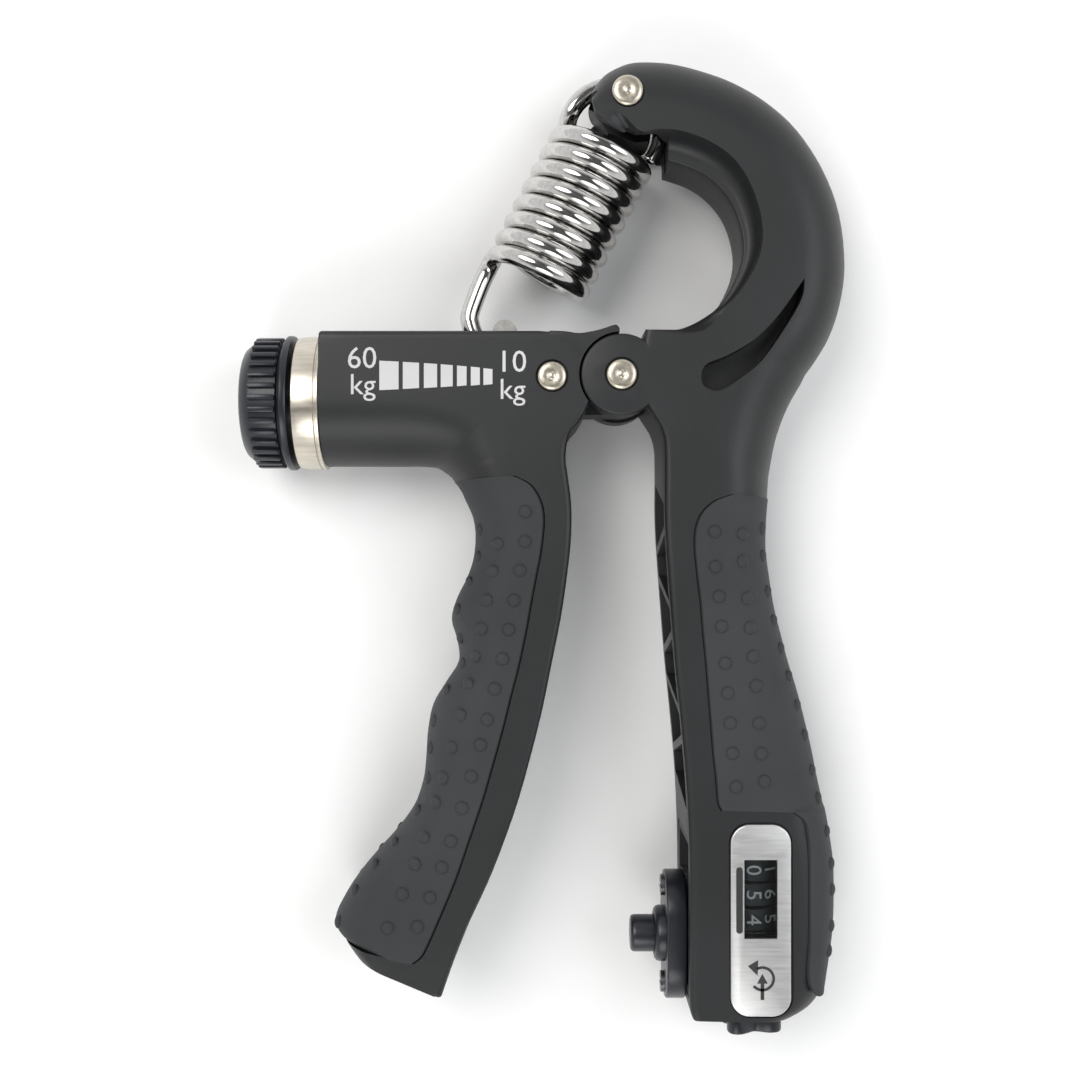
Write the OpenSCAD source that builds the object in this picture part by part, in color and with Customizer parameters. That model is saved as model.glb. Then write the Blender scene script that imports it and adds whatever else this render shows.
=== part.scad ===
// Adjustable spring hand grip with a squeeze counter, lying on its back.
// X runs along the screw arm, Y up the handles, Z is the thickness, and z = 0 is the rest plane.
// Every outline is drawn around the hinge axis and then moved so that the whole stands centred.

/* [Body] */
// Thickness of both handles
body_t = 23.5; // [23.5:0.1:25]
// Depth of the moulded grip skin on the handles' outer sides
grip_skin = 2.8; // [2.2:0.1:3]

/* [Hinge] */
// Radius of the hinge rivet's shank
hinge_r = 1.8; // [1.5:0.1:2]
// Radius of the lever's two round cheeks
cheek_r = 6.8; // [6.6:0.1:6.8]
// Thickness of the frame's tongue between the cheeks
tongue_t = 9; // [8:0.5:9.5]

/* [Spring] */
// Diameter of the spring wire
wire_d = 3.2; // [2.8:0.1:3.2]
// Mean radius of the coil
coil_r = 8; // [7.6:0.1:8]
// Number of turns in the coil
coil_turns = 8; // [8:1:8]

/* [Adjuster] */
// Radius of the lead screw
screw_r = 3; // [2.6:0.1:3]
// Radius of the tension knob
knob_r = 11.7; // [11:0.1:11.7]
// Number of raised bars around the knob
knob_bars = 30; // [20:1:36]

/* [Counter] */
// Radius of the plunger's rod
plunger_r = 3.15; // [2.8:0.05:3.2]
// Radius of the three number wheels
wheel_r = 5.1; // [4.8:0.1:5.1]
// Radius of the reset knob over its lobes
reset_r = 6; // [5.6:0.1:6]

/* [Hidden] */
$fn = 64;
fit = 0.05;              // running clearance on the radius
gap = 0.3;               // free space between bodies
eps = 0.01;
mid_z = body_t / 2;
hinge_at = [12.95, 28.05];  // the hinge axis in the row frame
screw_y = -3.8;          // height of the lead screw's axis
pin_b = [1, 47.2];       // spring pin in the lever's tip
pin_a = [-19.6, 7.9];    // hook pin in the carriage
rivet_at = [-11.6, -0.3];  // rivet that locks the screw's bearing
arm_left = -50.5;
arm_top = 7.3;
arm_bottom = -14.8;
pocket = [-48, -14.5];   // the carriage's slot along X
pocket_w = 12;           // and its width along Z
wheel_axis = [22.2, 15.5]; // x and z of the number wheels' shaft
pinion_z = 8.1;          // height of the transfer pinions' shaft
shaft_r = 1.5;           // number wheels' shaft and reset shaft
pinion_shaft_r = 0.8;
plunger_y = -96.1;
plunger_rod = [2.1, 13]; // the rod's two ends along X
stem_r = 1.1;            // thin end of the plunger that guides its spring
flange = [8, 11.4];      // the flange's two faces along X
flange_screw_y = [plunger_y - 8.4, plunger_y + 8.4];
plate_t = 0.6;           // thickness of the counter's faceplate

// points on an arc around c
function arc(c, r, a0, a1, n) = [for (i = [0:n]) c + r * [cos(a0 + (a1 - a0) * i / n),
                                                        sin(a0 + (a1 - a0) * i / n)]];
// a curve through every point of p, n steps to each
function curve_point(a, b, c, d, t) = 0.5 * ((2 * b) + (c - a) * t + (2 * a - 5 * b + 4 * c - d) * t * t
                                            + (3 * b - a - 3 * c + d) * t * t * t);
function curve(p, n = 4) = concat([for (i = [0:len(p) - 2], k = [0:n - 1])
    curve_point(p[max(i - 1, 0)], p[i], p[i + 1], p[min(i + 2, len(p) - 1)], k / n)],
    [p[len(p) - 1]]);
function unit(v) = v / norm(v);

// The long curves of both handles, from the top down
frame_inner = curve([[-9.4, -13.6], [-8.3, -22], [-8.9, -33], [-11.3, -46.5], [-16.7, -69.7],
                     [-25.9, -91.9], [-29.6, -103]]);
frame_outer = curve([[-28, -17.4], [-24.8, -25.5], [-26.2, -34], [-28.9, -40.5], [-27.6, -48.5],
                     [-31.9, -55], [-33.2, -63.8], [-35.2, -74.4], [-41, -81], [-46.6, -87.5],
                     [-49, -93.6]]);
frame_seam = curve([[-17.5, -17], [-14, -19.8], [-12.7, -24], [-15.6, -42.6], [-20.4, -62],
                    [-27.5, -84.5], [-33, -97]]);
lever_inner = curve([[7.3, -11], [7.2, -24.5], [8.9, -48], [11, -70], [11.4, -94], [11.2, -105]]);
lever_outer = curve([[25.8, -20.9], [25.4, -29], [27.4, -41.2], [31.3, -55.4], [34.9, -71.2],
                     [36.8, -82], [36.7, -93], [35.6, -102.5]]);
lever_seam = curve([[17, -20.2], [13, -22.7], [11.9, -27], [13.6, -46], [15.7, -70]]);
c_outer = curve([[-4.8, 47.6], [-3.6, 51.6], [0.6, 54.3], [6.1, 54.6], [17.9, 52], [28.8, 45.2],
                 [36.2, 34.7], [39.1, 21], [36.6, 7.8], [30.8, -1.2], [27.6, -8], [26, -16.4],
                 [25.6, -20.7]]);
c_ledge = curve([[-3.4, 42], [2.3, 40], [11.1, 40.6], [18.8, 36.6], [23.9, 28], [23.3, 18.8],
                 [18.4, 11.6], [10, 7.9], [4, 7.6]]);
c_inner = curve([[-3.4, 42], [2.3, 38.2], [9.5, 36.6], [16.8, 32.4], [20.8, 23], [17.5, 13],
                 [10, 7.8], [4, 7.5]]);
swoosh = curve([[30.4, 16], [29.6, 11.8], [24, 3.1], [19.8, -0.7], [16, -2.8], [13.4, -1.6],
                [13.8, 1.4], [17.5, 3.1], [22.1, 5.8], [26.2, 10], [30.4, 16]]);

module in_row_frame() translate([hinge_at.x, hinge_at.y, 0]) children();
module slab(z0, z1) translate([0, 0, z0]) linear_extrude(z1 - z0) children();
module upright(p, r, z0, z1) translate([p.x, p.y, z0]) cylinder(r = r, h = z1 - z0);
module along_x(x0, x1, y, z, r) translate([x0, y, z]) rotate([0, 90, 0]) cylinder(r = r, h = x1 - x0);
module along_y(y0, y1, x, z, r) translate([x, y0, z]) rotate([-90, 0, 0]) cylinder(r = r, h = y1 - y0);
module block(a, b) translate(a) cube(b - a);
module both_faces() {
  children();
  translate([0, 0, body_t]) mirror([0, 0, 1]) children();
}
// A rivet along Z with a low domed head on each face
module rivet(p, shank, head) {
  upright(p, shank, 0.7, body_t - 0.7);
  both_faces() translate([p.x, p.y, 0.15]) rotate_extrude()
    polygon([[0, 0], [head * 0.6, 0.05], [head - 0.3, 0.3], [head, 0.65], [head, 1], [0, 1]]);
}
module rivet_seat(p, shank, head) {
  upright(p, shank, -1, body_t + 1);
  both_faces() upright(p, head, -1, 1.15);
}

// Left frame: screw arm, hinge tongue and fixed handle
module frame_outline() polygon(concat(
  [[arm_left, arm_top], [-11.6, arm_top], [-7, 6.8], [-1.2, 8.2], [-0.4, 7.7]],
  arc([0, 0], cheek_r + gap, 93, 246, 24),
  [[-7.2, -8.1], [-8.8, -10]], frame_inner, [[-30.2, -104.2]],
  [[-44.2, -98.4], [-47.8, -96.4]], [for (i = [len(frame_outer) - 1:-1:0]) frame_outer[i]],
  [[-30.5, -15.4], [-34, arm_bottom], [arm_left, arm_bottom]]));
module frame_grip_area() polygon(concat(frame_seam, [[-34.2, -98.4], [-43.8, -95.4]],
  [for (i = [len(frame_outer) - 1:-1:0]) frame_outer[i]]));
module frame_core() intersection() {
  slab(1.6, body_t - 1.6) frame_grip_area();
  translate([grip_skin, 0.6, 0]) slab(0, body_t) frame_grip_area();
}
// Open channel along the handle's inner side, crossed by thin ribs
module frame_channel() difference() {
  slab(3, body_t - 3) polygon(concat(
    [for (q = frame_inner) if (q.y < -22 && q.y > -101) q + [2, 0]],
    [for (i = [len(frame_inner) - 1:-1:0]) if (frame_inner[i].y < -22 && frame_inner[i].y > -101)
      frame_inner[i] + [-3, 0]]));
  for (y = [-28.5:-9.2:-100]) block([-40, y - 0.8, 0], [0, y + 0.8, body_t]);
}
module left_frame() color([0.1, 0.11, 0.12]) in_row_frame() difference() {
  union() {
    difference() {
      slab(0, body_t) frame_outline();
      slab(-1, body_t + 1) frame_grip_area();
    }
    frame_core();
    slab(mid_z - tongue_t / 2, mid_z + tongue_t / 2) union() {
      circle(r = cheek_r - 0.5);
      translate([-8.5, -6.3]) square([8.5, 12.4]);
    }
    along_x(-55, arm_left + eps, screw_y, mid_z, 8);
  }
  // the arm's rounded underside
  both_faces() translate([arm_left - 1, arm_bottom, 0]) difference() {
    translate([0, -eps, -eps]) cube([19, 8, 8]);
    translate([-1, 8, 8]) rotate([0, 90, 0]) cylinder(r = 8, h = 21);
  }
  block([pocket[0], -9.8, mid_z - pocket_w / 2], [pocket[1], 9, mid_z + pocket_w / 2]);
  along_x(-60, pocket[0] + 1, screw_y, mid_z, screw_r + fit);
  // relief for the lower hook's cut end
  block([pocket[1] - 0.1, 2.6, mid_z - 2.2], [-12.2, 9, mid_z + 2.2]);
  along_x(pocket[1] - 1, -9.5, screw_y, mid_z, 4.4);
  upright([0, 0], hinge_r + fit, -1, body_t + 1);
  rivet_seat(rivet_at, 2, 2.45);
  frame_channel();
}
module left_grip() color([0.17, 0.18, 0.19]) in_row_frame() difference() {
  slab(0, body_t) frame_grip_area();
  frame_core();
}

// Adjuster: knob, screw and what holds them
module knob_ferrule() color([0.72, 0.68, 0.6]) in_row_frame() difference() {
  along_x(-55.4, arm_left, screw_y, mid_z, 11.5);
  along_x(-56, arm_left + 1, screw_y, mid_z, 8 + fit);
}
module tension_knob() color([0.09, 0.1, 0.13]) in_row_frame() difference() {
  translate([-64.4, screw_y, mid_z]) rotate([0, 90, 0]) union() {
    rotate_extrude() polygon([[0, 0], [8.6, 0], [10.6, 2], [10.9, 6.6], [knob_r, 7.3],
                              [knob_r, 8.1], [11, 8.6], [0, 8.6]]);
    for (i = [0:knob_bars - 1]) rotate(i * 360 / knob_bars)
      translate([10.3, -0.4, 2]) cube([0.95, 0.8, 4.9]);
  }
  along_x(-62, -55, screw_y, mid_z, screw_r);
  along_x(-65, -62 + eps, screw_y, mid_z, 1.5);
}
module knob_cap() color([0.12, 0.13, 0.15]) in_row_frame() {
  translate([-65, screw_y, mid_z]) rotate([0, 90, 0]) rotate_extrude()
    polygon([[0, 0], [3.4, 0], [4.4, 0.6], [1.5, 0.6], [1.5, 3], [0, 3]]);
}
module lead_screw() color([0.62, 0.63, 0.64]) in_row_frame() difference() {
  union() {
    along_x(-62, -16.3, screw_y, mid_z, screw_r);
    along_x(-16.3 - eps, -13.9, screw_y, mid_z, 2);
  }
  // thread form as closed rounds, one a pitch
  for (x = [-46:2:-17]) translate([x, screw_y, mid_z]) rotate([0, 90, 0]) rotate_extrude()
    polygon([[screw_r - 0.45, 0.2], [screw_r + 1, -0.5], [screw_r + 1, 0.9]]);
}
module thrust_washer() color([0.75, 0.75, 0.72]) in_row_frame() difference() {
  along_x(-55.8, -55.3, screw_y, mid_z, 6.8);
  along_x(-57, -54, screw_y, mid_z, screw_r);
}
module retaining_ring() color([0.45, 0.46, 0.48]) in_row_frame() difference() {
  along_x(-47.7, -46.9, screw_y, mid_z, 5);
  along_x(-49, -46, screw_y, mid_z, screw_r);
}
module screw_bearing() color([0.7, 0.6, 0.38]) in_row_frame() difference() {
  along_x(-16, -9.5, screw_y, mid_z, 4.4);
  along_x(-17, -13.6, screw_y, mid_z, 2 + fit);
  upright(rivet_at, 2, 0, body_t);
}
module bearing_rivet() color([0.74, 0.7, 0.6]) in_row_frame() rivet(rivet_at, 2, 2.35);
module carriage_nut() color([0.7, 0.69, 0.64]) in_row_frame() difference() {
  union() {
    block([-24.4, -8.6, mid_z - 5], [-16.6, 1.2, mid_z + 5]);
    both_faces() slab(7.9, 9.8) polygon([[-22.4, 1], [-16.8, 1], [-17.7, 8], [-18.5, 9.9],
                                         [-20.7, 9.9], [-21.5, 8]]);
  }
  along_x(-30, -10, screw_y, mid_z, screw_r + fit);
  upright(pin_a, 1.5 + fit, 0, body_t);
}
module hook_pin() color([0.72, 0.72, 0.7]) in_row_frame() {
  upright(pin_a, 1.5, 6.9, body_t - 6.9);
  both_faces() upright(pin_a, 2.1, 6.7, 7.6);
}

// Tension spring: one wire, split at mid length into the two halves that draw apart
spring_dir = unit(pin_b - pin_a);
spring_side = [-spring_dir.y, spring_dir.x];
spring_len = norm(pin_b - pin_a);
coil_from = 11.4;        // first turn, measured from the hook pin
coil_pitch = 3.3;
low_hook = [3.4, 0.9];   // centre of the lower hook along and across the spring
low_hook_r = 7;
function at_spring(a, s, z) = [pin_a.x + a * spring_dir.x + s * spring_side.x,
                               pin_a.y + a * spring_dir.y + s * spring_side.y, mid_z + z];
function turn_point(t) = at_spring(coil_from + coil_pitch * t, coil_r * cos(360 * t),
                                   coil_r * sin(360 * t));
function ring_normals(p, i, last) = i == len(p) - 1 ? [last] :
  let (d = unit(p[min(i + 1, len(p) - 1)] - p[max(i - 1, 0)]), n = unit(last - (last * d) * d))
  concat([n], ring_normals(p, i + 1, n));
module wire(p, sides = 10) {
  n = len(p);
  normals = ring_normals(p, 0, [0.1, 0.2, 1]);
  points = [for (i = [0:n - 1])
    let (d = unit(p[min(i + 1, n - 1)] - p[max(i - 1, 0)]),
         u = unit(normals[i] - (normals[i] * d) * d), v = cross(d, u))
    for (k = [0:sides - 1]) p[i] + wire_d / 2 * (u * cos(360 * k / sides) + v * sin(360 * k / sides))];
  faces = concat(
    [for (i = [0:n - 2], k = [0:sides - 1])
      [i * sides + k, (i + 1) * sides + k, (i + 1) * sides + (k + 1) % sides, i * sides + (k + 1) % sides]],
    [[for (k = [0:sides - 1]) k]], [[for (k = [sides - 1:-1:0]) (n - 1) * sides + k]]);
  polyhedron(points, faces);
}
module spring_lower() color([0.8, 0.8, 0.8]) in_row_frame() wire(concat(
  [for (a = [250:-12:94]) at_spring(low_hook.x + low_hook_r * cos(a), low_hook.y + low_hook_r * sin(a), 0)],
  [at_spring(5.4, 8, 0), at_spring(8.6, 8.2, 0)],
  [for (t = [0:1 / 20:coil_turns / 2]) turn_point(t)]));
up_hook = spring_len + 3.7 - coil_r;
module spring_upper() color([0.8, 0.8, 0.8]) in_row_frame() wire(concat(
  [for (t = [coil_turns / 2 + 1 / 20:1 / 20:coil_turns]) turn_point(t)],
  [for (a = [80:-12:-100]) at_spring(up_hook + coil_r * cos(a), coil_r * sin(a), 0)]));

// Hinge and lever
module hinge_pin() color([0.74, 0.7, 0.6]) in_row_frame() rivet([0, 0], hinge_r, 2.55);
module hinge_washers() color([0.75, 0.75, 0.72]) in_row_frame() both_faces() difference() {
  upright([0, 0], 4.6, mid_z - tongue_t / 2 - 0.25, mid_z - tongue_t / 2 - 0.03);
  upright([0, 0], hinge_r + fit, 0, mid_z);
}
module lever_outline(inner) polygon(concat(c_outer, lever_outer,
  [[34.9, -104.9], [32.6, -107.1], [28.6, -108.4], [21.9, -107.7], [12, -107.5]],
  [for (i = [len(lever_inner) - 1:-1:0]) lever_inner[i]],
  [[6.3, -8.3]], arc([0, 0], cheek_r, 301, 68, 40),
  [for (i = [len(inner) - 1:-1:0]) inner[i]]));
module lever_grip_area() polygon(concat(lever_seam, [[15.8, -72.5], [28.6, -72.5], [30.4, -74.4],
  [30.9, -79], [31, -92], [30.6, -102], [32.4, -104]],
  [for (i = [len(lever_outer) - 1:-1:0]) lever_outer[i]]));
module lever_core() intersection() {
  slab(1.6, body_t - 1.6) lever_grip_area();
  translate([-grip_skin, 0.4, 0]) slab(0, body_t) lever_grip_area();
}
module lever_channel() difference() {
  slab(3, body_t - 3) polygon(concat(
    [for (q = lever_inner) if (q.y < -18 && q.y > -72) q + [-2, 0]],
    [for (i = [len(lever_inner) - 1:-1:0]) if (lever_inner[i].y < -18 && lever_inner[i].y > -72)
      lever_inner[i] + [8, 0]]));
  for (i = [0:5]) translate([0, -25 - 8.6 * i, mid_z]) rotate([i % 2 == 0 ? 24 : -24, 0, 0])
    block([0, -0.8, -body_t], [30, 0.8, body_t]);
}
module tip_fork() {
  // narrow slot for the spring's hook, and a wide relief for the coil's last turns
  block([-8, 30, mid_z - 2.1], [11.5, 54, mid_z + 2.1]);
  difference() {
    slab(1.8, body_t - 1.8) polygon([[-9, 50], [-3.4, 46.4], [-0.6, 42.9], [3, 42.2], [6.5, 43],
                                     [9, 41.6], [9, 30], [-9, 30]]);
    upright(pin_b, 4.3, 0, body_t);
  }
}
module right_lever() color([0.1, 0.11, 0.12]) in_row_frame() difference() {
  union() {
    difference() {
      union() {
        slab(0, body_t) lever_outline(c_ledge);
        slab(5, body_t - 5) lever_outline(c_inner);
      }
      slab(-1, body_t + 1) lever_grip_area();
    }
    lever_core();
  }
  tip_fork();
  both_faces() slab(-1, 8) polygon(swoosh);
  upright([0, 0], cheek_r + 0.1, mid_z - tongue_t / 2 - gap, mid_z + tongue_t / 2 + gap);
  upright([0, 0], hinge_r + fit, -1, body_t + 1);
  both_faces() upright([0, 0], 2.65, -1, 1.15);
  rivet_seat(pin_b, 2, 2.65);
  lever_channel();
  // bay for the counter, open on the inner side
  block([8, -104.3, 4.4], [30.4, -77.6, 21.2]);
  block([19.9, -94.2, 20], [26.3, -80.2, body_t + 1]);
  slab(body_t - plate_t, body_t + 1) plate_outline(0.1);
  along_y(-112, -104, wheel_axis.x, wheel_axis.y, 2.2);
  along_y(-112, -105.6, wheel_axis.x, wheel_axis.y, reset_r + gap);
  // seat and pilot holes for the plunger's flange
  block([flange[0], plunger_y - 11.1, mid_z - 7.1], [flange[1], plunger_y + 11.1, mid_z + 7.1]);
  for (y = flange_screw_y) along_x(flange[0], 14, y, mid_z, 1);
}
module right_grip() color([0.17, 0.18, 0.19]) in_row_frame() difference() {
  slab(0, body_t) lever_grip_area();
  lever_core();
}
module spring_pin() color([0.74, 0.7, 0.6]) in_row_frame() rivet(pin_b, 2, 2.6);

// Counter: unit in the lever's bay
module plate_outline(extra = 0) polygon(concat(
  arc([21.2, -78], 3.2 + extra, 180, 90, 8), arc([24.9, -78], 3.2 + extra, 90, 0, 8),
  arc([25.1, -103.6], 3.2 + extra, 0, -90, 8), arc([21.4, -103.6], 3.2 + extra, -90, -180, 8)));
module counter_faceplate() color([0.78, 0.78, 0.79]) in_row_frame() difference() {
  slab(body_t - plate_t, body_t) plate_outline();
  block([20.3, -93.8, 22], [25.8, -80.7, 24]);
}
module counter_window() color([0.75, 0.8, 0.82, 0.35]) in_row_frame()
  block([20, -94.1, 21.9], [26.2, -80.3, 22.8]);
module counter_case() color([0.14, 0.15, 0.17]) in_row_frame() difference() {
  union() {
    difference() {
      block([11.4, -104.2, 4.5], [30.3, -77.7, 21.1]);
      block([10, -103, 5.7], [29.1, -78.9, 19.9]);
    }
    // boss for the upper flange screw
    block([11.5, flange_screw_y[1] - 2, 5], [15, flange_screw_y[1] + 2, mid_z + 2.2]);
  }
  block([19.4, -94, 18], [26.1, -80.4, 22]);
  along_y(-79, -77, wheel_axis.x, wheel_axis.y, shaft_r);
  along_y(-79, -77, wheel_axis.x, pinion_z, pinion_shaft_r);
  along_y(-105, -102.9, wheel_axis.x, wheel_axis.y, shaft_r + fit);
  for (y = flange_screw_y) along_x(flange[0], 14, y, mid_z, 1);
}
module number_wheel(y0) difference() {
  union() {
    along_y(y0, y0 + 3.9, wheel_axis.x, wheel_axis.y, wheel_r - 0.15);
    for (i = [0:9]) translate([wheel_axis.x, y0 + 0.3, wheel_axis.y]) rotate([0, i * 36, 0])
      translate([-1.2, 0, wheel_r - 0.8]) cube([2.4, 3.3, 0.75]);
  }
  along_y(y0 - 1, y0 + 5, wheel_axis.x, wheel_axis.y, shaft_r + fit);
}
module number_wheel_units() color([0.9, 0.9, 0.88]) in_row_frame() {
  number_wheel(-93.4);
  difference() {
    translate([wheel_axis.x, -94.2, wheel_axis.y]) rotate([-90, 0, 0]) linear_extrude(0.8 + eps)
      polygon([for (i = [0:9], k = [0, 1]) (k == 0 ? 4.1 : 3.1) * [cos(36 * i + 8 * k), sin(36 * i + 8 * k)]]);
    along_y(-96, -92, wheel_axis.x, wheel_axis.y, shaft_r + fit);
  }
}
module number_wheel_tens() color([0.9, 0.9, 0.88]) in_row_frame() number_wheel(-89.2);
module number_wheel_hundreds() color([0.9, 0.9, 0.88]) in_row_frame() number_wheel(-85);
module wheel_shaft() color([0.7, 0.7, 0.72]) in_row_frame()
  along_y(-94.4, -77.7, wheel_axis.x, wheel_axis.y, shaft_r);
module pinion_shaft() color([0.7, 0.7, 0.72]) in_row_frame()
  along_y(-92, -77.7, wheel_axis.x, pinion_z, pinion_shaft_r);
module transfer_pinions() color([0.85, 0.84, 0.8]) in_row_frame() for (y = [-90.2, -86]) difference() {
  translate([wheel_axis.x, y, pinion_z]) rotate([-90, 0, 0]) linear_extrude(2)
    polygon([for (i = [0:7], k = [0, 1]) (k == 0 ? 1.95 : 1.35) * [cos(45 * i + 22.5 * k), sin(45 * i + 22.5 * k)]]);
  along_y(y - 1, y + 3, wheel_axis.x, pinion_z, pinion_shaft_r + fit);
}
module plunger() color([0.1, 0.11, 0.13]) in_row_frame() difference() {
  union() {
    along_x(plunger_rod[0], plunger_rod[1], plunger_y, mid_z, plunger_r);
    along_x(plunger_rod[1] - eps, 21.5, plunger_y, mid_z, stem_r);
  }
  // flat that carries the pawl
  block([11.9, plunger_y - 4, 14.6], [plunger_rod[1] + 1, plunger_y + 4, 16]);
}
module ratchet_pawl() color([0.8, 0.78, 0.7]) in_row_frame()
  block([11.9, plunger_y + 0.1, 14.6], [16.3, plunger_y + 1.5, 15.6]);
module plunger_flange() color([0.12, 0.13, 0.15]) in_row_frame() difference() {
  union() {
    translate([flange[0], 0, 0]) rotate([0, 90, 0]) linear_extrude(flange[1] - flange[0]) union() {
      translate([-mid_z, plunger_y]) square([14, 15], center = true);
      for (s = [-4, 4]) translate([-mid_z, plunger_y + s]) circle(r = 7);
    }
    along_x(6.2, flange[0] + eps, plunger_y, mid_z, 4.75);
  }
  along_x(5, 13, plunger_y, mid_z, plunger_r + fit);
  for (y = flange_screw_y) along_x(7, 13, y, mid_z, 1);
}
module flange_screws() color([0.35, 0.36, 0.38]) in_row_frame() for (y = flange_screw_y) difference() {
  union() {
    along_x(flange[0] - eps, 14, y, mid_z, 1);
    along_x(flange[0] - 0.6, flange[0], y, mid_z, 1.8);
  }
  block([7.3, y - 0.25, mid_z - 3], [7.65, y + 0.25, mid_z + 3]);
}
module spring_sleeve(length, r_in, r_out, turns) difference() {
  rotate_extrude() translate([r_in, 0]) square([r_out - r_in, length]);
  for (i = [1:turns - 1]) translate([0, 0, i * length / turns]) rotate_extrude()
    polygon([[r_out - 0.25, 0], [r_out + 1, -0.5], [r_out + 1, 0.5]]);
}
module plunger_spring() color([0.75, 0.75, 0.76]) in_row_frame() translate([plunger_rod[1] + fit, plunger_y, mid_z])
  rotate([0, 90, 0]) spring_sleeve(15.9, 1.2, 1.65, 11);
module reset_shaft() color([0.68, 0.68, 0.7]) in_row_frame()
  along_y(-109.3, -96.4, wheel_axis.x, wheel_axis.y, shaft_r);
module reset_knob() color([0.1, 0.11, 0.13]) in_row_frame() difference() {
  translate([wheel_axis.x, -110.9, wheel_axis.y]) rotate([-90, 0, 0]) union() {
    cylinder(r = reset_r - 1.6, h = 2.9);
    for (i = [0:3]) rotate(90 * i - 36) translate([reset_r - 2.3, 0, 0]) cylinder(r = 2.3, h = 2.9);
  }
  along_y(-109.3, -100, wheel_axis.x, wheel_axis.y, shaft_r);
}
module reset_spring() color([0.75, 0.75, 0.76]) in_row_frame() translate([wheel_axis.x, -107.8, wheel_axis.y])
  rotate([-90, 0, 0]) spring_sleeve(3.4, 1.6, 2.1, 4);

left_frame();
left_grip();
knob_ferrule();
tension_knob();
knob_cap();
lead_screw();
thrust_washer();
retaining_ring();
screw_bearing();
bearing_rivet();
carriage_nut();
hook_pin();
spring_lower();
spring_upper();
hinge_pin();
hinge_washers();
right_lever();
right_grip();
spring_pin();
counter_case();
counter_faceplate();
counter_window();
number_wheel_units();
number_wheel_tens();
number_wheel_hundreds();
wheel_shaft();
transfer_pinions();
pinion_shaft();
plunger();
ratchet_pawl();
plunger_flange();
plunger_spring();
flange_screws();
reset_shaft();
reset_knob();
reset_spring();
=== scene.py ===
import math

import bmesh
import bpy
from mathutils import Matrix, Vector


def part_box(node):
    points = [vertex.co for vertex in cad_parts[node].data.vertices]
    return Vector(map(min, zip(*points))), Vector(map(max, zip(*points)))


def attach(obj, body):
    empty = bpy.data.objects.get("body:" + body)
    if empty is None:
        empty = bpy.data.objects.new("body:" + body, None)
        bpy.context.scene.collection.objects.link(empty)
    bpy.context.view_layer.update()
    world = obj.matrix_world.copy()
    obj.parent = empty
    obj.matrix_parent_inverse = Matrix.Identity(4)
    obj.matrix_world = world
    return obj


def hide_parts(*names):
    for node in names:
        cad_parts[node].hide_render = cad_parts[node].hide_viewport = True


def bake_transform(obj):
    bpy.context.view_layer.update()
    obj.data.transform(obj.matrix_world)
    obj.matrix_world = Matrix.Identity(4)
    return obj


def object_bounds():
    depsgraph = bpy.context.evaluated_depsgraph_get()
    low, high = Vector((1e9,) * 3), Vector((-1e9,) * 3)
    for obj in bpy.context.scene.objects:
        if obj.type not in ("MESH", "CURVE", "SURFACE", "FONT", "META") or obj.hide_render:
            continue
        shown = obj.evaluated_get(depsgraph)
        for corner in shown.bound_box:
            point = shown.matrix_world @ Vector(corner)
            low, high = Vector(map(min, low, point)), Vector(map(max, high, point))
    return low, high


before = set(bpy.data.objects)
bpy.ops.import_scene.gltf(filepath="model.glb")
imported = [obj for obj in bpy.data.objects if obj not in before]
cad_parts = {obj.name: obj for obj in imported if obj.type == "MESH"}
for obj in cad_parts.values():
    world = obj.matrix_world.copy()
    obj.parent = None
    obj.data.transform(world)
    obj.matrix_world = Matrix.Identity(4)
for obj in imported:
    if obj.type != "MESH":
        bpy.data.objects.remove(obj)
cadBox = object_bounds()

# shapes are drawn in millimetres around the hinge axis, and place() puts them in the frame
mm = 0.001
pinLow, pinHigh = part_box("hinge_pin")
hinge = Vector(((pinLow.x + pinHigh.x) / 2, (pinLow.y + pinHigh.y) / 2, 0))
fullDepth = cadBox[1].z / mm
midZ = fullDepth / 2
faceInset = 0.5  # the moulded faces stay this far inside, the grip nubs reach the rest plane
frameHalf = midZ - faceInset
gripInset = 0.42
gripHalf = midZ - gripInset


def place(x, y, z=0.0):
    return Vector((x * mm, y * mm, z * mm)) + hinge


def throughPoints(points, steps):
    # a smooth run through listed points
    run = []
    for i in range(len(points) - 1):
        a = Vector(points[max(i - 1, 0)])
        b = Vector(points[i])
        c = Vector(points[i + 1])
        d = Vector(points[min(i + 2, len(points) - 1)])
        for k in range(steps):
            t = k / steps
            run.append(0.5 * (2 * b + (c - a) * t + (2 * a - 5 * b + 4 * c - d) * t * t
                              + (3 * b - a - 3 * c + d) * t ** 3))
    run.append(Vector(points[-1]))
    return run


def arcPoints(centre, radius, start, end, steps):
    run = []
    for i in range(steps + 1):
        a = math.radians(start + (end - start) * i / steps)
        run.append((centre[0] + radius * math.cos(a), centre[1] + radius * math.sin(a)))
    return run


def finishMesh(bm, sharpAngle=38):
    bmesh.ops.remove_doubles(bm, verts=bm.verts, dist=1e-7)
    bmesh.ops.dissolve_degenerate(bm, edges=bm.edges, dist=1e-7)
    bmesh.ops.recalc_face_normals(bm, faces=bm.faces)
    for face in bm.faces:
        face.smooth = True
    for edge in bm.edges:
        edge.smooth = edge.calc_face_angle(0) < math.radians(sharpAngle)


def makePiece(name, bm, material, body=None, replaces=(), sharpAngle=38):
    finishMesh(bm, sharpAngle)
    mesh = bpy.data.meshes.new(name)
    bm.to_mesh(mesh)
    bm.free()
    piece = bpy.data.objects.new(name, mesh)
    bpy.context.scene.collection.objects.link(piece)
    piece.data.materials.append(material)
    if body:
        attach(piece, body)
        if replaces:
            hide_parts(*replaces)
    return piece


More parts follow.
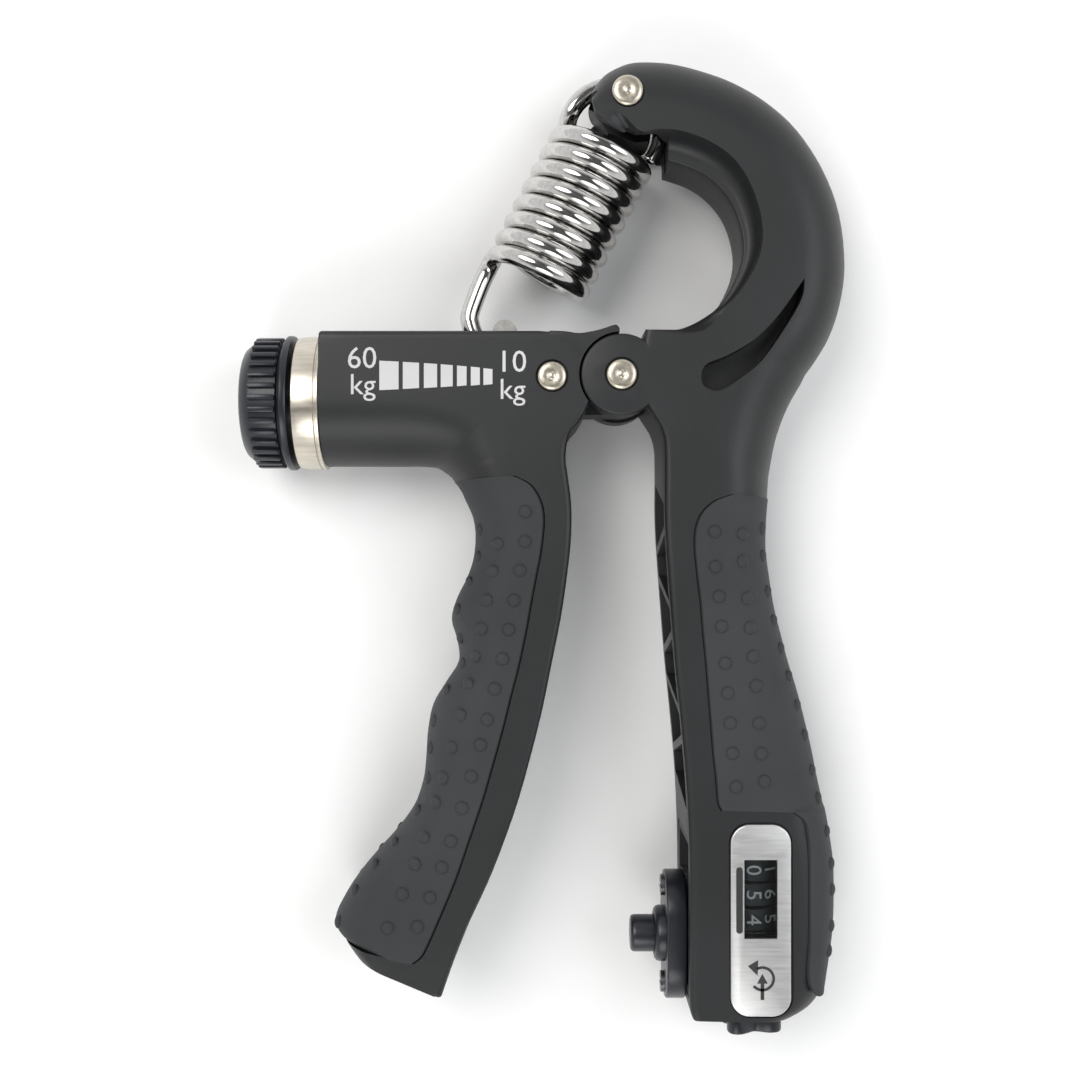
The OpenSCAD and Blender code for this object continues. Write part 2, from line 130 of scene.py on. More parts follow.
def loft(bm, rings, closeEnds=True, endBevel=0.0):
    # the first ring is a circle of points moved into place, and each next one is extruded from it
    first = bmesh.ops.create_circle(bm, cap_ends=False, radius=1, segments=len(rings[0]))["verts"]
    ends = [list(first)]
    for vert, point in zip(first, rings[0]):
        vert.co = point
    edges = [e for e in bm.edges if e.verts[0] in first and e.verts[1] in first]
    current = list(first)
    for ring in rings[1:]:
        made = bmesh.ops.extrude_edge_only(bm, edges=edges)["geom"]
        newVerts = {v for v in made if isinstance(v, bmesh.types.BMVert)}
        edges = [e for e in made if isinstance(e, bmesh.types.BMEdge)
                 and e.verts[0] in newVerts and e.verts[1] in newVerts]
        following = []
        for vert in current:
            following.append(next(e.other_vert(vert) for e in vert.link_edges
                                  if e.other_vert(vert) in newVerts))
        for vert, point in zip(following, ring):
            vert.co = point
        current = following
    ends.append(current)
    if closeEnds:
        caps = [bm.faces.new(end) for end in ends]
        if endBevel:
            rim = list({e for cap in caps for e in cap.edges})
            bmesh.ops.bevel(bm, geom=rim, offset=endBevel * mm, segments=3, profile=0.5,
                            affect="EDGES", clamp_overlap=True, material=-1)


def extrudeOutline(bm, points, zLow, zHigh):
    verts = [bm.verts.new(place(x, y, zLow)) for x, y in points]
    face = bm.faces.new(verts)
    top = bmesh.ops.extrude_face_region(bm, geom=[face])["geom"]
    raised = [v for v in top if isinstance(v, bmesh.types.BMVert)]
    bmesh.ops.translate(bm, verts=raised, vec=(0, 0, (zHigh - zLow) * mm))
    return verts + raised


def addBox(bm, low, high):
    made = bmesh.ops.create_cube(bm, size=1)["verts"]
    size = [(high[i] - low[i]) * mm for i in range(3)]
    centre = place(*[(high[i] + low[i]) / 2 for i in range(3)])
    bmesh.ops.scale(bm, verts=made, vec=size)
    bmesh.ops.translate(bm, verts=made, vec=centre)
    return made


def addRod(bm, start, end, radius, segments=48):
    span = Vector(end) - Vector(start)
    made = bmesh.ops.create_cone(bm, cap_ends=True, segments=segments, radius1=radius * mm,
                                 radius2=radius * mm, depth=span.length * mm)["verts"]
    direction = span.normalized()
    turn = direction.to_track_quat("Z", "Y").to_matrix()
    bmesh.ops.rotate(bm, verts=made, cent=(0, 0, 0), matrix=turn)
    bmesh.ops.translate(bm, verts=made, vec=place(*((Vector(start) + Vector(end)) / 2)))
    return made


def spinProfile(bm, profile, origin, axis, steps=64):
    # profile runs along the axis: pairs of distance along it and radius
    side = Vector(axis).orthogonal().normalized()
    along = Vector(axis).normalized()
    verts = [bm.verts.new(place(*(Vector(origin) + along * a + side * r))) for a, r in profile]
    edges = [bm.edges.new((verts[i], verts[i + 1])) for i in range(len(verts) - 1)]
    bmesh.ops.spin(bm, geom=verts + edges, cent=place(*origin), axis=along, dvec=(0, 0, 0),
                   angle=2 * math.pi, steps=steps, use_merge=True, use_duplicate=False)


def cutWith(piece, cutter, operation="DIFFERENCE", selfCheck=False):
    modifier = piece.modifiers.new("cut", "BOOLEAN")
    modifier.operation = operation
    modifier.solver = "EXACT"
    modifier.use_self = selfCheck
    modifier.object = cutter
    depsgraph = bpy.context.evaluated_depsgraph_get()
    mesh = bpy.data.meshes.new_from_object(piece.evaluated_get(depsgraph))
    piece.modifiers.clear()
    piece.data = mesh
    bpy.data.objects.remove(cutter)


def looseObject(name, bm):
    bmesh.ops.recalc_face_normals(bm, faces=bm.faces)
    mesh = bpy.data.meshes.new(name)
    bm.to_mesh(mesh)
    bm.free()
    tool = bpy.data.objects.new(name, mesh)
    bpy.context.scene.collection.objects.link(tool)
    return tool


# materials
def newMaterial(name, settings):
    material = bpy.data.materials.new(name)
    material.use_nodes = True
    shader = material.node_tree.nodes["Principled BSDF"]
    for socket, value in settings.items():
        shader.inputs[socket].default_value = value
    return material, material.node_tree, shader


def addNode(tree, kind, **values):
    node = tree.nodes.new(kind)
    for key, value in values.items():
        if key in node.inputs:
            node.inputs[key].default_value = value
        else:
            setattr(node, key, value)
    return node


def noiseFrom(tree, scale, detail=2.0, roughness=0.5, stretch=(1, 1, 1)):
    coordinates = addNode(tree, "ShaderNodeTexCoord")
    mapping = addNode(tree, "ShaderNodeMapping")
    mapping.inputs["Scale"].default_value = stretch
    noise = addNode(tree, "ShaderNodeTexNoise", Scale=scale, Detail=detail, Roughness=roughness)
    tree.links.new(coordinates.outputs["Object"], mapping.inputs["Vector"])
    tree.links.new(mapping.outputs["Vector"], noise.inputs["Vector"])
    return noise.outputs["Fac"]


def ramp(tree, factor, stops):
    node = addNode(tree, "ShaderNodeValToRGB")
    elements = node.color_ramp.elements
    elements[0].position, elements[0].color = stops[0][0], stops[0][1]
    elements[1].position, elements[1].color = stops[-1][0], stops[-1][1]
    for position, color in stops[1:-1]:
        elements.new(position).color = color
    tree.links.new(factor, node.inputs["Fac"])
    return node.outputs["Color"]


def toRange(tree, factor, low, high):
    node = addNode(tree, "ShaderNodeMapRange")
    node.inputs["To Min"].default_value = low
    node.inputs["To Max"].default_value = high
    tree.links.new(factor, node.inputs["Value"])
    return node.outputs["Result"]


def addBump(tree, shader, height, strength, distance):
    bump = addNode(tree, "ShaderNodeBump", Strength=strength, Distance=distance)
    tree.links.new(height, bump.inputs["Height"])
    tree.links.new(bump.outputs["Normal"], shader.inputs["Normal"])


def grey(value, tint=(1, 1, 1)):
    return (value * tint[0], value * tint[1], value * tint[2], 1)


def mouldedPlastic(name, dark, light, roughLow, roughHigh, grain, strength, tint=(0.92, 1.0, 1.1)):
    # a moulding: slow colour drift, fine spark texture, and roughness that follows it
    material, tree, shader = newMaterial(name, {"IOR": 1.5})
    drift = noiseFrom(tree, 55, 3)
    color = ramp(tree, drift, [(0.3, grey(dark, tint)), (0.7, grey(light, tint))])
    tree.links.new(color, shader.inputs["Base Color"])
    texture = noiseFrom(tree, grain, 4, 0.6)
    tree.links.new(toRange(tree, texture, roughLow, roughHigh), shader.inputs["Roughness"])
    addBump(tree, shader, texture, strength, 0.00012)
    return material


def turnedMetal(name, dark, light, roughLow, roughHigh, tint, stretch, scale=900, strength=0.25):
    # metal with fine tool marks drawn out along one direction
    material, tree, shader = newMaterial(name, {"Metallic": 1.0})
    marks = noiseFrom(tree, scale, 3, 0.55, stretch)
    color = ramp(tree, marks, [(0.25, grey(dark, tint)), (0.75, grey(light, tint))])
    tree.links.new(color, shader.inputs["Base Color"])
    tree.links.new(toRange(tree, marks, roughLow, roughHigh), shader.inputs["Roughness"])
    addBump(tree, shader, marks, strength, 0.00003)
    return material


def clearPlastic(name, color, roughLow, roughHigh):
    # a moulded window, a little uneven in its polish
    settings = {"Base Color": color, "Transmission Weight": 1.0, "IOR": 1.46}
    material, tree, shader = newMaterial(name, settings)
    tree.links.new(toRange(tree, noiseFrom(tree, 300, 2), roughLow, roughHigh), shader.inputs["Roughness"])
    return material


finishes = {
    "bodyBlack": {"dark": 0.007, "light": 0.012, "roughLow": 0.36, "roughHigh": 0.56, "grain": 3600,
                  "strength": 0.16},
    "gripRubber": {"dark": 0.022, "light": 0.032, "roughLow": 0.62, "roughHigh": 0.82, "grain": 5200,
                   "strength": 0.28},
    "knobBlack": {"dark": 0.010, "light": 0.016, "roughLow": 0.26, "roughHigh": 0.40, "grain": 2600,
                  "strength": 0.08},
    "innerBlack": {"dark": 0.012, "light": 0.018, "roughLow": 0.45, "roughHigh": 0.65, "grain": 3000,
                   "strength": 0.1},
}
bodyBlack = mouldedPlastic("satin moulded black", **finishes["bodyBlack"])
gripRubber = mouldedPlastic("soft grip rubber", **finishes["gripRubber"])
knobBlack = mouldedPlastic("knob blue black", tint=(0.8, 0.95, 1.35), **finishes["knobBlack"])
innerBlack = mouldedPlastic("inner moulding black", **finishes["innerBlack"])
springChrome = turnedMetal("bright spring wire", 0.50, 0.66, 0.06, 0.15, (1.0, 0.985, 0.96), (1, 1, 1),
                           1400, 0.08)
rivetNickel = turnedMetal("warm nickel rivet", 0.50, 0.66, 0.26, 0.38, (1.0, 0.92, 0.76), (1, 1, 1), 1800,
                          0.3)
ferruleSatin = turnedMetal("champagne ferrule", 0.52, 0.70, 0.24, 0.40, (1.0, 0.93, 0.80), (0.15, 1, 1),
                           1500, 0.35)
zincSteel = turnedMetal("zinc plated steel", 0.30, 0.44, 0.28, 0.42, (1.0, 0.98, 0.92), (1, 1, 1), 1300,
                        0.25)
darkSteel = turnedMetal("blackened steel", 0.10, 0.17, 0.30, 0.45, (1, 1, 1.05), (1, 1, 1), 1300, 0.25)
bronze = turnedMetal("sintered bronze", 0.36, 0.50, 0.40, 0.58, (1.0, 0.74, 0.38), (1, 1, 1), 2400, 0.4)
plateSilver = turnedMetal("satin silver plate", 0.62, 0.74, 0.34, 0.46, (1.0, 0.995, 0.99), (0.08, 1, 1),
                          2600, 0.3)
wheelDark = mouldedPlastic("number wheel grey", 0.020, 0.028, 0.4, 0.55, 2600, 0.08)
gearIvory = mouldedPlastic("gear ivory", 0.55, 0.64, 0.4, 0.55, 2600, 0.1, (1.0, 0.97, 0.9))
printPale = mouldedPlastic("pale print", 0.50, 0.58, 0.5, 0.65, 3000, 0.1, (1, 1, 1))
printDark = mouldedPlastic("dark print", 0.018, 0.026, 0.45, 0.6, 3000, 0.1, (1, 1, 1))
windowClear = clearPlastic("clear window", (0.86, 0.90, 0.92, 1), 0.03, 0.10)
print("materials ready")


def halfSection(width, half, innerRound, roundX, roundY, cove=0.0, coveWidth=3.8, coveDepth=4.6):
    # front half of a handle's cross-section, from the inner wall's middle to the outer edge's middle
    innerRound = min(innerRound, width * 0.2)
    roundX = min(roundX, width * 0.72)
    plain = [(0, 0), (0, (half - innerRound) / 2), (0, half - innerRound)]
    plain += [(innerRound - innerRound * math.cos(a), half - innerRound + innerRound * math.sin(a))
              for a in (math.radians(22.5 * k) for k in range(1, 5))]
    start = innerRound
    reach = min(max(width * 0.25, coveWidth + 0.3), width - roundX - 0.2)
    plain += [(start + (reach - start) * k / 8, half) for k in range(1, 9)]
    if cove > 0:
        shelf = half - coveDepth
        lip = 0.5
        stepped = [(0, 0), (0, (shelf - lip) / 2), (0, shelf - lip)]
        stepped += [(lip - lip * math.cos(a), shelf - lip + lip * math.sin(a))
                    for a in (math.radians(22.5 * k) for k in range(1, 5))]
        flat = coveWidth * 0.3
        stepped += [(flat + (coveWidth - flat) * math.sin(a), half - coveDepth * math.cos(a))
                    for a in (math.radians(15 * k) for k in range(0, 7))]
        stepped.append((reach, half))
        plain = [(p[0] + (q[0] - p[0]) * cove, p[1] + (q[1] - p[1]) * cove) for p, q in zip(plain, stepped)]
    points = plain
    for k in range(1, 4):
        points.append((reach + (width - roundX - reach) * k / 3, half))
    for k in range(1, 13):
        a = math.radians(7.5 * k)
        points.append((width - roundX + roundX * math.sin(a), half - roundY + roundY * math.cos(a)))
    points.append((width, (half - roundY) * 0.5))
    points.append((width, 0))
    return points


def fullRing(inner, outer, points):
    # mirrors the half section to the back and stands it between an inner and an outer point
    inner, outer = Vector(inner), Vector(outer)
    across = (outer - inner).normalized()
    ring = points + [(a, -h) for a, h in reversed(points[1:-1])]
    return [place(inner.x + across.x * a, inner.y + across.y * a, midZ + h) for a, h in ring]


leftFrame = {
    "hingeClearance": 7.1,      # radius of the hollow around the lever's cheeks
    "armRound": 10.6,           # rounding of the arm's underside
    "handleRound": (6.5, 8.5),  # rounding of the handle's outer side, across and in depth
    "edge": 0.9,
    "armTop": 7.3,
    "armBottom": -14.8,
    "tongue": (6.3, 4.5),       # radius and half depth
    "slot": ((-47.8, -9.8), (-14.5, 9), 6),        # two corners and half depth
    "hookRelief": ((-14.7, 2.6), (-12.2, 9), 2.2),
    "bore": (-60, -47, -3.8, 8.0),                 # from, to, height and radius
    "rivetSeat": (-11.6, -0.3, 2.75, 1.2),         # place, radius and depth
    "ribs": {"first": -22.5, "spacing": 9.2, "count": 10, "half": 0.8},
    "wall": 3.2,
    "steps": 3,
}


def leftFrameRings():
    # the arm, the turn below the hinge and the handle, as inner and outer edges
    inner = [(x, leftFrame["armTop"]) for x in (-50.5, -46, -42, -37, -31, -25, -19, -14)]
    outer = [(x, leftFrame["armBottom"]) for x in (-50.5, -46, -42, -38.6, -36.4, -34.8)]
    outer += [(-33.4, -14.85), (-32.3, -14.95)]
    inner += throughPoints([(-11, 7.1), (-8, 5.6), (-5.8, 3.2), (-4.8, 0), (-5, -3.4), (-6.1, -6.3)], 3)
    outer += throughPoints([(-31.9, -15), (-31.4, -15.1), (-31, -15.3), (-30.5, -15.6), (-30, -15.95),
                            (-29.4, -16.4)], 3)
    tail = [((-7.2, -8.1), (-28.8, -16.9)), ((-8.7, -10), (-28.2, -17.8)), ((-9.35, -13.6), (-26.9, -19.6)),
            ((-8.9, -17.5), (-25.5, -21.8)), ((-8.4, -21.5), (-23.9, -24.8)), ((-8.4, -27), (-23.4, -28.5)),
            ((-9.0, -33), (-24.8, -34)), ((-10.1, -40.5), (-27.2, -40.3)), ((-11.5, -47.5), (-26.2, -47.5)),
            ((-13.2, -55.9), (-30.4, -55)), ((-15.1, -63.5), (-31.8, -62)), ((-17.2, -71), (-32.4, -68.6)),
            ((-19.8, -78.5), (-34.6, -74.8)), ((-22.4, -85), (-39.6, -80.6)),
            ((-25.3, -91.2), (-44.6, -86.4)),
            ((-27.8, -97.4), (-47.0, -91)), ((-29.3, -101.6), (-47.4, -94.4)),
            ((-30.1, -104), (-45.4, -97.6))]
    handleEdge = throughPoints([t[0] for t in tail], leftFrame["steps"])
    inner += handleEdge
    outer += throughPoints([t[1] for t in tail], leftFrame["steps"])
    rings = []
    armRound, (acrossRound, depthRound) = leftFrame["armRound"], leftFrame["handleRound"]
    for k, (i, o) in enumerate(zip(inner, outer)):
        turn = min(max((k - 12) / 24, 0), 1)
        roundX = armRound + (acrossRound - armRound) * turn
        roundY = armRound + (depthRound - armRound) * turn
        width = (Vector(o) - Vector(i)).length
        rings.append(fullRing(i, o, halfSection(width, frameHalf, leftFrame["edge"], roundX, roundY)))
    return rings, handleEdge


def softenFaces(bm, size):
    # bevels the edges that run round the front and back faces
    rim = [e for e in bm.edges if len({round(v.co.z, 6) for v in e.verts}) == 1]
    bmesh.ops.bevel(bm, geom=rim, offset=size * mm, segments=3, profile=0.5, affect="EDGES", material=-1)


def cutPocket(piece, name, region):
    (left, bottom), (right, top), half = region
    cut = bmesh.new()
    addBox(cut, (left, bottom, midZ - half), (right, top, midZ + half))
    cutWith(piece, looseObject(name, cut))


def addRivetSeats(bm, x, y, radius, depth):
    addRod(bm, (x, y, fullDepth - depth), (x, y, fullDepth + 1), radius)
    addRod(bm, (x, y, -1), (x, y, depth), radius)


def addFrameLip(piece):
    # the lip that covers the hinge's top, a hair inside the moulding's faces
    lip = throughPoints([(-12, 7.25), (-9.4, 7.15), (-7, 6.85), (-4, 7.35), (-1.5, 8.15), (-0.8, 8.2),
                         (-0.35, 7.7)], 3) + [Vector((-0.35, 5)), Vector((-12, 0))]
    add = bmesh.new()
    extrudeOutline(add, [(q[0], q[1]) for q in lip], midZ - frameHalf + 0.03, midZ + frameHalf - 0.03)
    softenFaces(add, 0.25)
    cutWith(piece, looseObject("lip", add), "UNION")


def addTongue(piece):
    cut = bmesh.new()
    addRod(cut, (0, 0, -1), (0, 0, fullDepth + 1), leftFrame["hingeClearance"], 96)
    cutWith(piece, looseObject("hollow", cut))
    radius, half = leftFrame["tongue"]
    add = bmesh.new()
    extrudeOutline(add, arcPoints((0, 0), radius, -100, 100, 40) + [(-8.4, 6.2), (-8.4, -6.2)],
                   midZ - half, midZ + half)
    cutWith(piece, looseObject("tongue", add), "UNION")


def cutFrameChannel(piece, edge):
    # open cells along the handle's inner side, with a rib between each two
    ribs, wall = leftFrame["ribs"], leftFrame["wall"]
    stops = [ribs["first"] - ribs["spacing"] * k for k in range(ribs["count"])]
    cut = bmesh.new()
    for above, below in zip(stops, stops[1:]):
        top, bottom = above - ribs["half"], below + ribs["half"]
        run = [(xAt(edge, y), y) for y in (top, (top * 2 + bottom) / 3, (top + bottom * 2) / 3, bottom)]
        outline = [(x + 3, y) for x, y in run] + [(x - 5.5, y) for x, y in reversed(run)]
        extrudeOutline(cut, outline, wall, fullDepth - wall)
    cutWith(piece, looseObject("channel", cut))


def buildLeftFrame():
    rings, handleEdge = leftFrameRings()
    bm = bmesh.new()
    loft(bm, rings, endBevel=0.5)
    piece = makePiece("left_frame_moulding", bm, bodyBlack)
    addFrameLip(piece)
    addTongue(piece)
    cutPocket(piece, "slot", leftFrame["slot"])
    cutPocket(piece, "hookRelief", leftFrame["hookRelief"])
    start, end, height, radius = leftFrame["bore"]
    cut = bmesh.new()
    addRod(cut, (start, height, midZ), (end, height, midZ), radius)
    cutWith(piece, looseObject("bore", cut))
    cut = bmesh.new()
    addRivetSeats(cut, *leftFrame["rivetSeat"])
    cutWith(piece, looseObject("seats", cut))
    cutFrameChannel(piece, handleEdge)
    return piece


def xAt(points, y):
    for a, b in zip(points, points[1:]):
        if (a.y - y) * (b.y - y) <= 0 and a.y != b.y:
            return a.x + (b.x - a.x) * (y - a.y) / (b.y - a.y)
    return points[-1].x


def resharpen(piece, body, replaces, sharpAngle=32):
    bm = bmesh.new()
    bm.from_mesh(piece.data)
    bmesh.ops.remove_doubles(bm, verts=bm.verts, dist=2e-6)
    bmesh.ops.dissolve_degenerate(bm, edges=bm.edges, dist=2e-6)
    for face in bm.faces:
        face.smooth = True
    for edge in bm.edges:
        edge.smooth = edge.calc_face_angle(0) < math.radians(sharpAngle)
    bm.to_mesh(piece.data)
    bm.free()
    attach(piece, body)
    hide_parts(*replaces)


leftMoulding = buildLeftFrame()
resharpen(leftMoulding, "frame", ["left_frame"])
print("left frame built", len(leftMoulding.data.polygons))


lever = {
    "cheekRadius": 6.8,
    "tongueRoom": (6.95, 4.8),   # radius and half depth of the room for the frame's tongue
    "curveRound": (9.5, 10.4),   # rounding of the curved arm's outer side, across and in depth
    "handleRound": (7.5, 9.5),
    "coveDepth": 4.8,
    "fork": ((-9, 30), (8.4, 56), 2.1),   # two corners and half depth
    "reliefWall": 2.0,
    "swooshDepth": 6,
    "seats": [(0, 0), (1, 47.2)],
    "seatSize": (2.85, 1.1),              # radius and depth
    "ribs": {"first": -19, "spacing": 8.8, "count": 7, "half": 0.7, "lean": 1.9},
    "wall": 3.2,
    "bay": ((8, -104.4, 4.4), (30.4, -77.5, 21.3)),
    "windowWell": ((19.9, -94.2), (26.3, -80.2)),
    "resetWell": (22.2, 15.5, 6.4),       # place and radius
    "plateSeat": {"corner": 3.45, "depth": 1.0},
}


def leverRings():
    # the curved arm: inner edge, outer edge and how wide the stepped cove is
    curved = [((-4.4, 43.4), (-5.2, 47.4), 0), ((-4.0, 42.8), (-4.9, 48.8), 0),
              ((-3.3, 42.2), (-4.0, 50.6), 0),
              ((-1.8, 41.4), (-2.3, 52.6), 0), ((0.4, 40.4), (0.6, 54.2), 0.5),
              ((2.6, 38.6), (3.6, 54.75), 1.5),
              ((6.0, 37.4), (8.6, 54.5), 3.4), ((9.5, 36.4), (13.8, 53.3), 4),
              ((13.5, 34.8), (19.6, 51.2), 4),
              ((16.8, 32.2), (25.4, 47.8), 4), ((19.4, 28.4), (30.7, 43.0), 3.6),
              ((20.8, 23), (35.3, 36), 3.4),
              ((20.2, 18.2), (38.1, 28.4), 3.2), ((17.5, 13), (39.05, 19.6), 2.4),
              ((14.2, 10), (38.2, 12.8), 1.4), ((10, 7.8), (36.4, 7.4), 0.6),
              ((6.5, 7.5), (34.1, 3.4), 0.1),
              ((4, 7.5), (32.3, 0.9), 0)]
    inner = throughPoints([c[0] for c in curved], 4)
    outer = throughPoints([c[1] for c in curved], 4)
    coves = [q.x for q in throughPoints([(c[2], 0) for c in curved], 4)]
    inner += throughPoints([(3.6, 5.6), (3.3, 2.5), (3.3, -1), (3.8, -4), (4.8, -6)], 3)
    outer += throughPoints([(31.4, -0.9), (29.6, -4), (28.2, -7.2), (27.1, -10.6), (26.4, -14)], 3)
    straightFrom = len(inner)
    handle = [((6.3, -8.3), (25.9, -17)), ((7.1, -11), (25.7, -19.8)),
              ((7.25, -16), (25.6, -22.2)), ((7.25, -24.5), (25.5, -27.5)), ((7.9, -35), (26.3, -36)),
              ((8.9, -48), (29.0, -48.5)), ((9.8, -57), (31.7, -57)), ((10.7, -67), (34.0, -67)),
              ((11.1, -74), (35.5, -74)), ((11.35, -82), (36.75, -82)), ((11.4, -90), (36.9, -90)),
              ((11.4, -96), (36.35, -96.5)), ((11.25, -101), (35.6, -101.2)), ((11.3, -104), (34.9, -104)),
              ((11.5, -106.2), (33.2, -106.4)), ((12, -107.6), (30.6, -108))]
    inner += throughPoints([h[0] for h in handle], 4)
    outer += throughPoints([h[1] for h in handle], 4)
    coves += [0] * (len(inner) - len(coves))
    (curveX, curveY), (handleX, handleY) = lever["curveRound"], lever["handleRound"]
    rings = []
    for k, (i, o, cove) in enumerate(zip(inner, outer, coves)):
        width = (Vector(o) - Vector(i)).length
        turn = min(max((k - straightFrom) / 16, 0), 1)
        roundX = curveX + (handleX - curveX) * turn
        roundY = (curveY + (handleY - curveY) * turn) * min(width / 6, 1)
        coveWidth = min(max(cove, 0.6), width * 0.24)
        half = halfSection(width, frameHalf, 0.9, roundX, roundY, min(cove / 2, 1), coveWidth,
                           lever["coveDepth"])
        rings.append(fullRing(i, o, half))
    return rings


def addCheeks(piece):
    add = bmesh.new()
    addRod(add, (0, 0, midZ - frameHalf), (0, 0, midZ + frameHalf), lever["cheekRadius"], 96)
    softenFaces(add, 0.45)
    cutWith(piece, looseObject("cheeks", add), "UNION")
    radius, half = lever["tongueRoom"]
    cut = bmesh.new()
    addRod(cut, (0, 0, midZ - half), (0, 0, midZ + half), radius, 64)
    cutWith(piece, looseObject("tongueRoom", cut))


def cutSpringRoom(piece):
    # a fork for the hook, and a wider relief for the coil's upper turns
    cutPocket(piece, "fork", lever["fork"])
    relief = [(-9, 50.4), (-3.9, 47.6), (-1.6, 44), (3, 42.4), (6.4, 42.6), (8.2, 41), (8.2, 30), (-9, 30)]
    cut = bmesh.new()
    extrudeOutline(cut, relief, lever["reliefWall"], fullDepth - lever["reliefWall"])
    cutWith(piece, looseObject("coilRelief", cut))


def cutSwoosh(piece):
    # the curved recess in both faces
    swoosh = throughPoints([(30.4, 16), (29.6, 11.8), (24, 3.1), (19.8, -0.7), (16, -2.8), (13.4, -1.6),
                            (13.8, 1.4), (17.5, 3.1), (22.1, 5.8), (26.2, 10), (30.4, 16)], 5)[:-1]
    depth = lever["swooshDepth"]
    for low, high in ((-1, depth), (fullDepth - depth, fullDepth + 1)):
        cut = bmesh.new()
        extrudeOutline(cut, swoosh, low, high)
        cutWith(piece, looseObject("swoosh", cut))


def cutLeverChannel(piece):
    # open cells along the inner side, crossed by leaning ribs
    ribs, wall = lever["ribs"], lever["wall"]
    stops = [ribs["first"] - ribs["spacing"] * k for k in range(ribs["count"])]
    cut = bmesh.new()
    for k, (above, below) in enumerate(zip(stops, stops[1:])):
        lean = ribs["lean"] if k % 2 else -ribs["lean"]
        top, bottom = above - ribs["half"], below + ribs["half"]
        front = [(4, top + lean), (16, top + lean), (16, bottom - lean), (4, bottom - lean)]
        back = [(4, top - lean), (16, top - lean), (16, bottom + lean), (4, bottom + lean)]
        low = [cut.verts.new(place(x, y, wall)) for x, y in back]
        high = [cut.verts.new(place(x, y, fullDepth - wall)) for x, y in front]
        cut.faces.new(low)
        cut.faces.new(high)
        for a in range(4):
            b = (a + 1) % 4
            cut.faces.new((low[a], low[b], high[b], high[a]))
    cutWith(piece, looseObject("channel", cut))


def cutCounterRoom(piece):
    # bay for the counter, window, reset knob's well and the faceplate's seat
    cut = bmesh.new()
    addBox(cut, *lever["bay"])
    cutWith(piece, looseObject("bay", cut))
    (left, bottom), (right, top) = lever["windowWell"]
    cut = bmesh.new()
    addBox(cut, (left, bottom, 20), (right, top, fullDepth + 1))
    cutWith(piece, looseObject("windowWell", cut))
    x, z, radius = lever["resetWell"]
    cut = bmesh.new()
    addRod(cut, (x, -112, z), (x, -105.6, z), radius, 64)
    cutWith(piece, looseObject("resetWell", cut))
    corner, depth = lever["plateSeat"]["corner"], lever["plateSeat"]["depth"]
    rim = arcPoints((21.2, -78), corner, 180, 90, 8) + arcPoints((24.9, -78), corner, 90, 0, 8)
    rim += arcPoints((25.1, -103.6), corner, 0, -90, 8) + arcPoints((21.4, -103.6), corner, -90, -180, 8)
    cut = bmesh.new()
    extrudeOutline(cut, rim, fullDepth - depth, fullDepth + 1)
    cutWith(piece, looseObject("plateSeat", cut))


def buildLever():
    bm = bmesh.new()
    loft(bm, leverRings(), endBevel=0.5)
    piece = makePiece("right_lever_moulding", bm, bodyBlack)
    addCheeks(piece)
    cutSpringRoom(piece)
    cutSwoosh(piece)
    cut = bmesh.new()
    for x, y in lever["seats"]:
        addRivetSeats(cut, x, y, *lever["seatSize"])
    cutWith(piece, looseObject("seats", cut))
    cutLeverChannel(piece)
    cutCounterRoom(piece)
    return piece


leverMoulding = buildLever()


# grip skins: a C-shaped section over the outer side of each handle, following the seam
grips = {
    "skin": 2.4,           # depth of the rubber
    "seamRound": 0.45,
    "nubRadius": 1.15,
    "nubHeight": 0.58,
    "nubSunk": 0.08,
    "cutGrow": 1.2,        # how far the room for the skin reaches past it
    "roundX": 8.2,
    "roundY": 10.2,
}


def gripPath(width, half, grow=0.0):
    # front half of the skin's outer surface, from the seam to the outer edge's middle
    roundX = min(grips["roundX"], width * 0.85)
    points = [(0, half - grips["seamRound"] * 2 + grow), (0.08, half - grips["seamRound"] + grow)]
    points += [(grips["seamRound"], half + grow)]
    start = grips["seamRound"]
    for k in range(1, 6):
        points.append((start + (width - roundX - start) * k / 5, half + grow))
    for k in range(1, 15):
        a = math.radians(90 * k / 14)
        points.append((width - roundX + roundX * math.sin(a) + grow * math.sin(a),
                       half - grips["roundY"] + grips["roundY"] * math.cos(a) + grow * math.cos(a)))
    points.append((width + grow, 0))
    return points


def gripRing(seam, outer, half, grow=0.0):
    seam, outer = Vector(seam), Vector(outer)
    width = (outer - seam).length
    across = (outer - seam).normalized()
    front = gripPath(width, half, grow)
    skin = min(grips["skin"], width * 0.4)
    core = [(max(width - skin, 0.5), 0), (max(width - skin, 0.5), half * 0.35)]
    for k in range(1, 5):
        a = math.radians(22.5 * k)
        reach = min(4.5, width * 0.3)
        core.append((width - skin - reach + reach * math.cos(a), half * 0.35 + (half * 0.5) * math.sin(a)))
    core.append((0, half * 0.85))
    loop = front + [(a, -h) for a, h in reversed(front[:-1])]
    loop += [(a, -h) for a, h in reversed(core)] + core[1:]
    return [place(seam.x + across.x * a, seam.y + across.y * a, midZ + h) for a, h in loop]


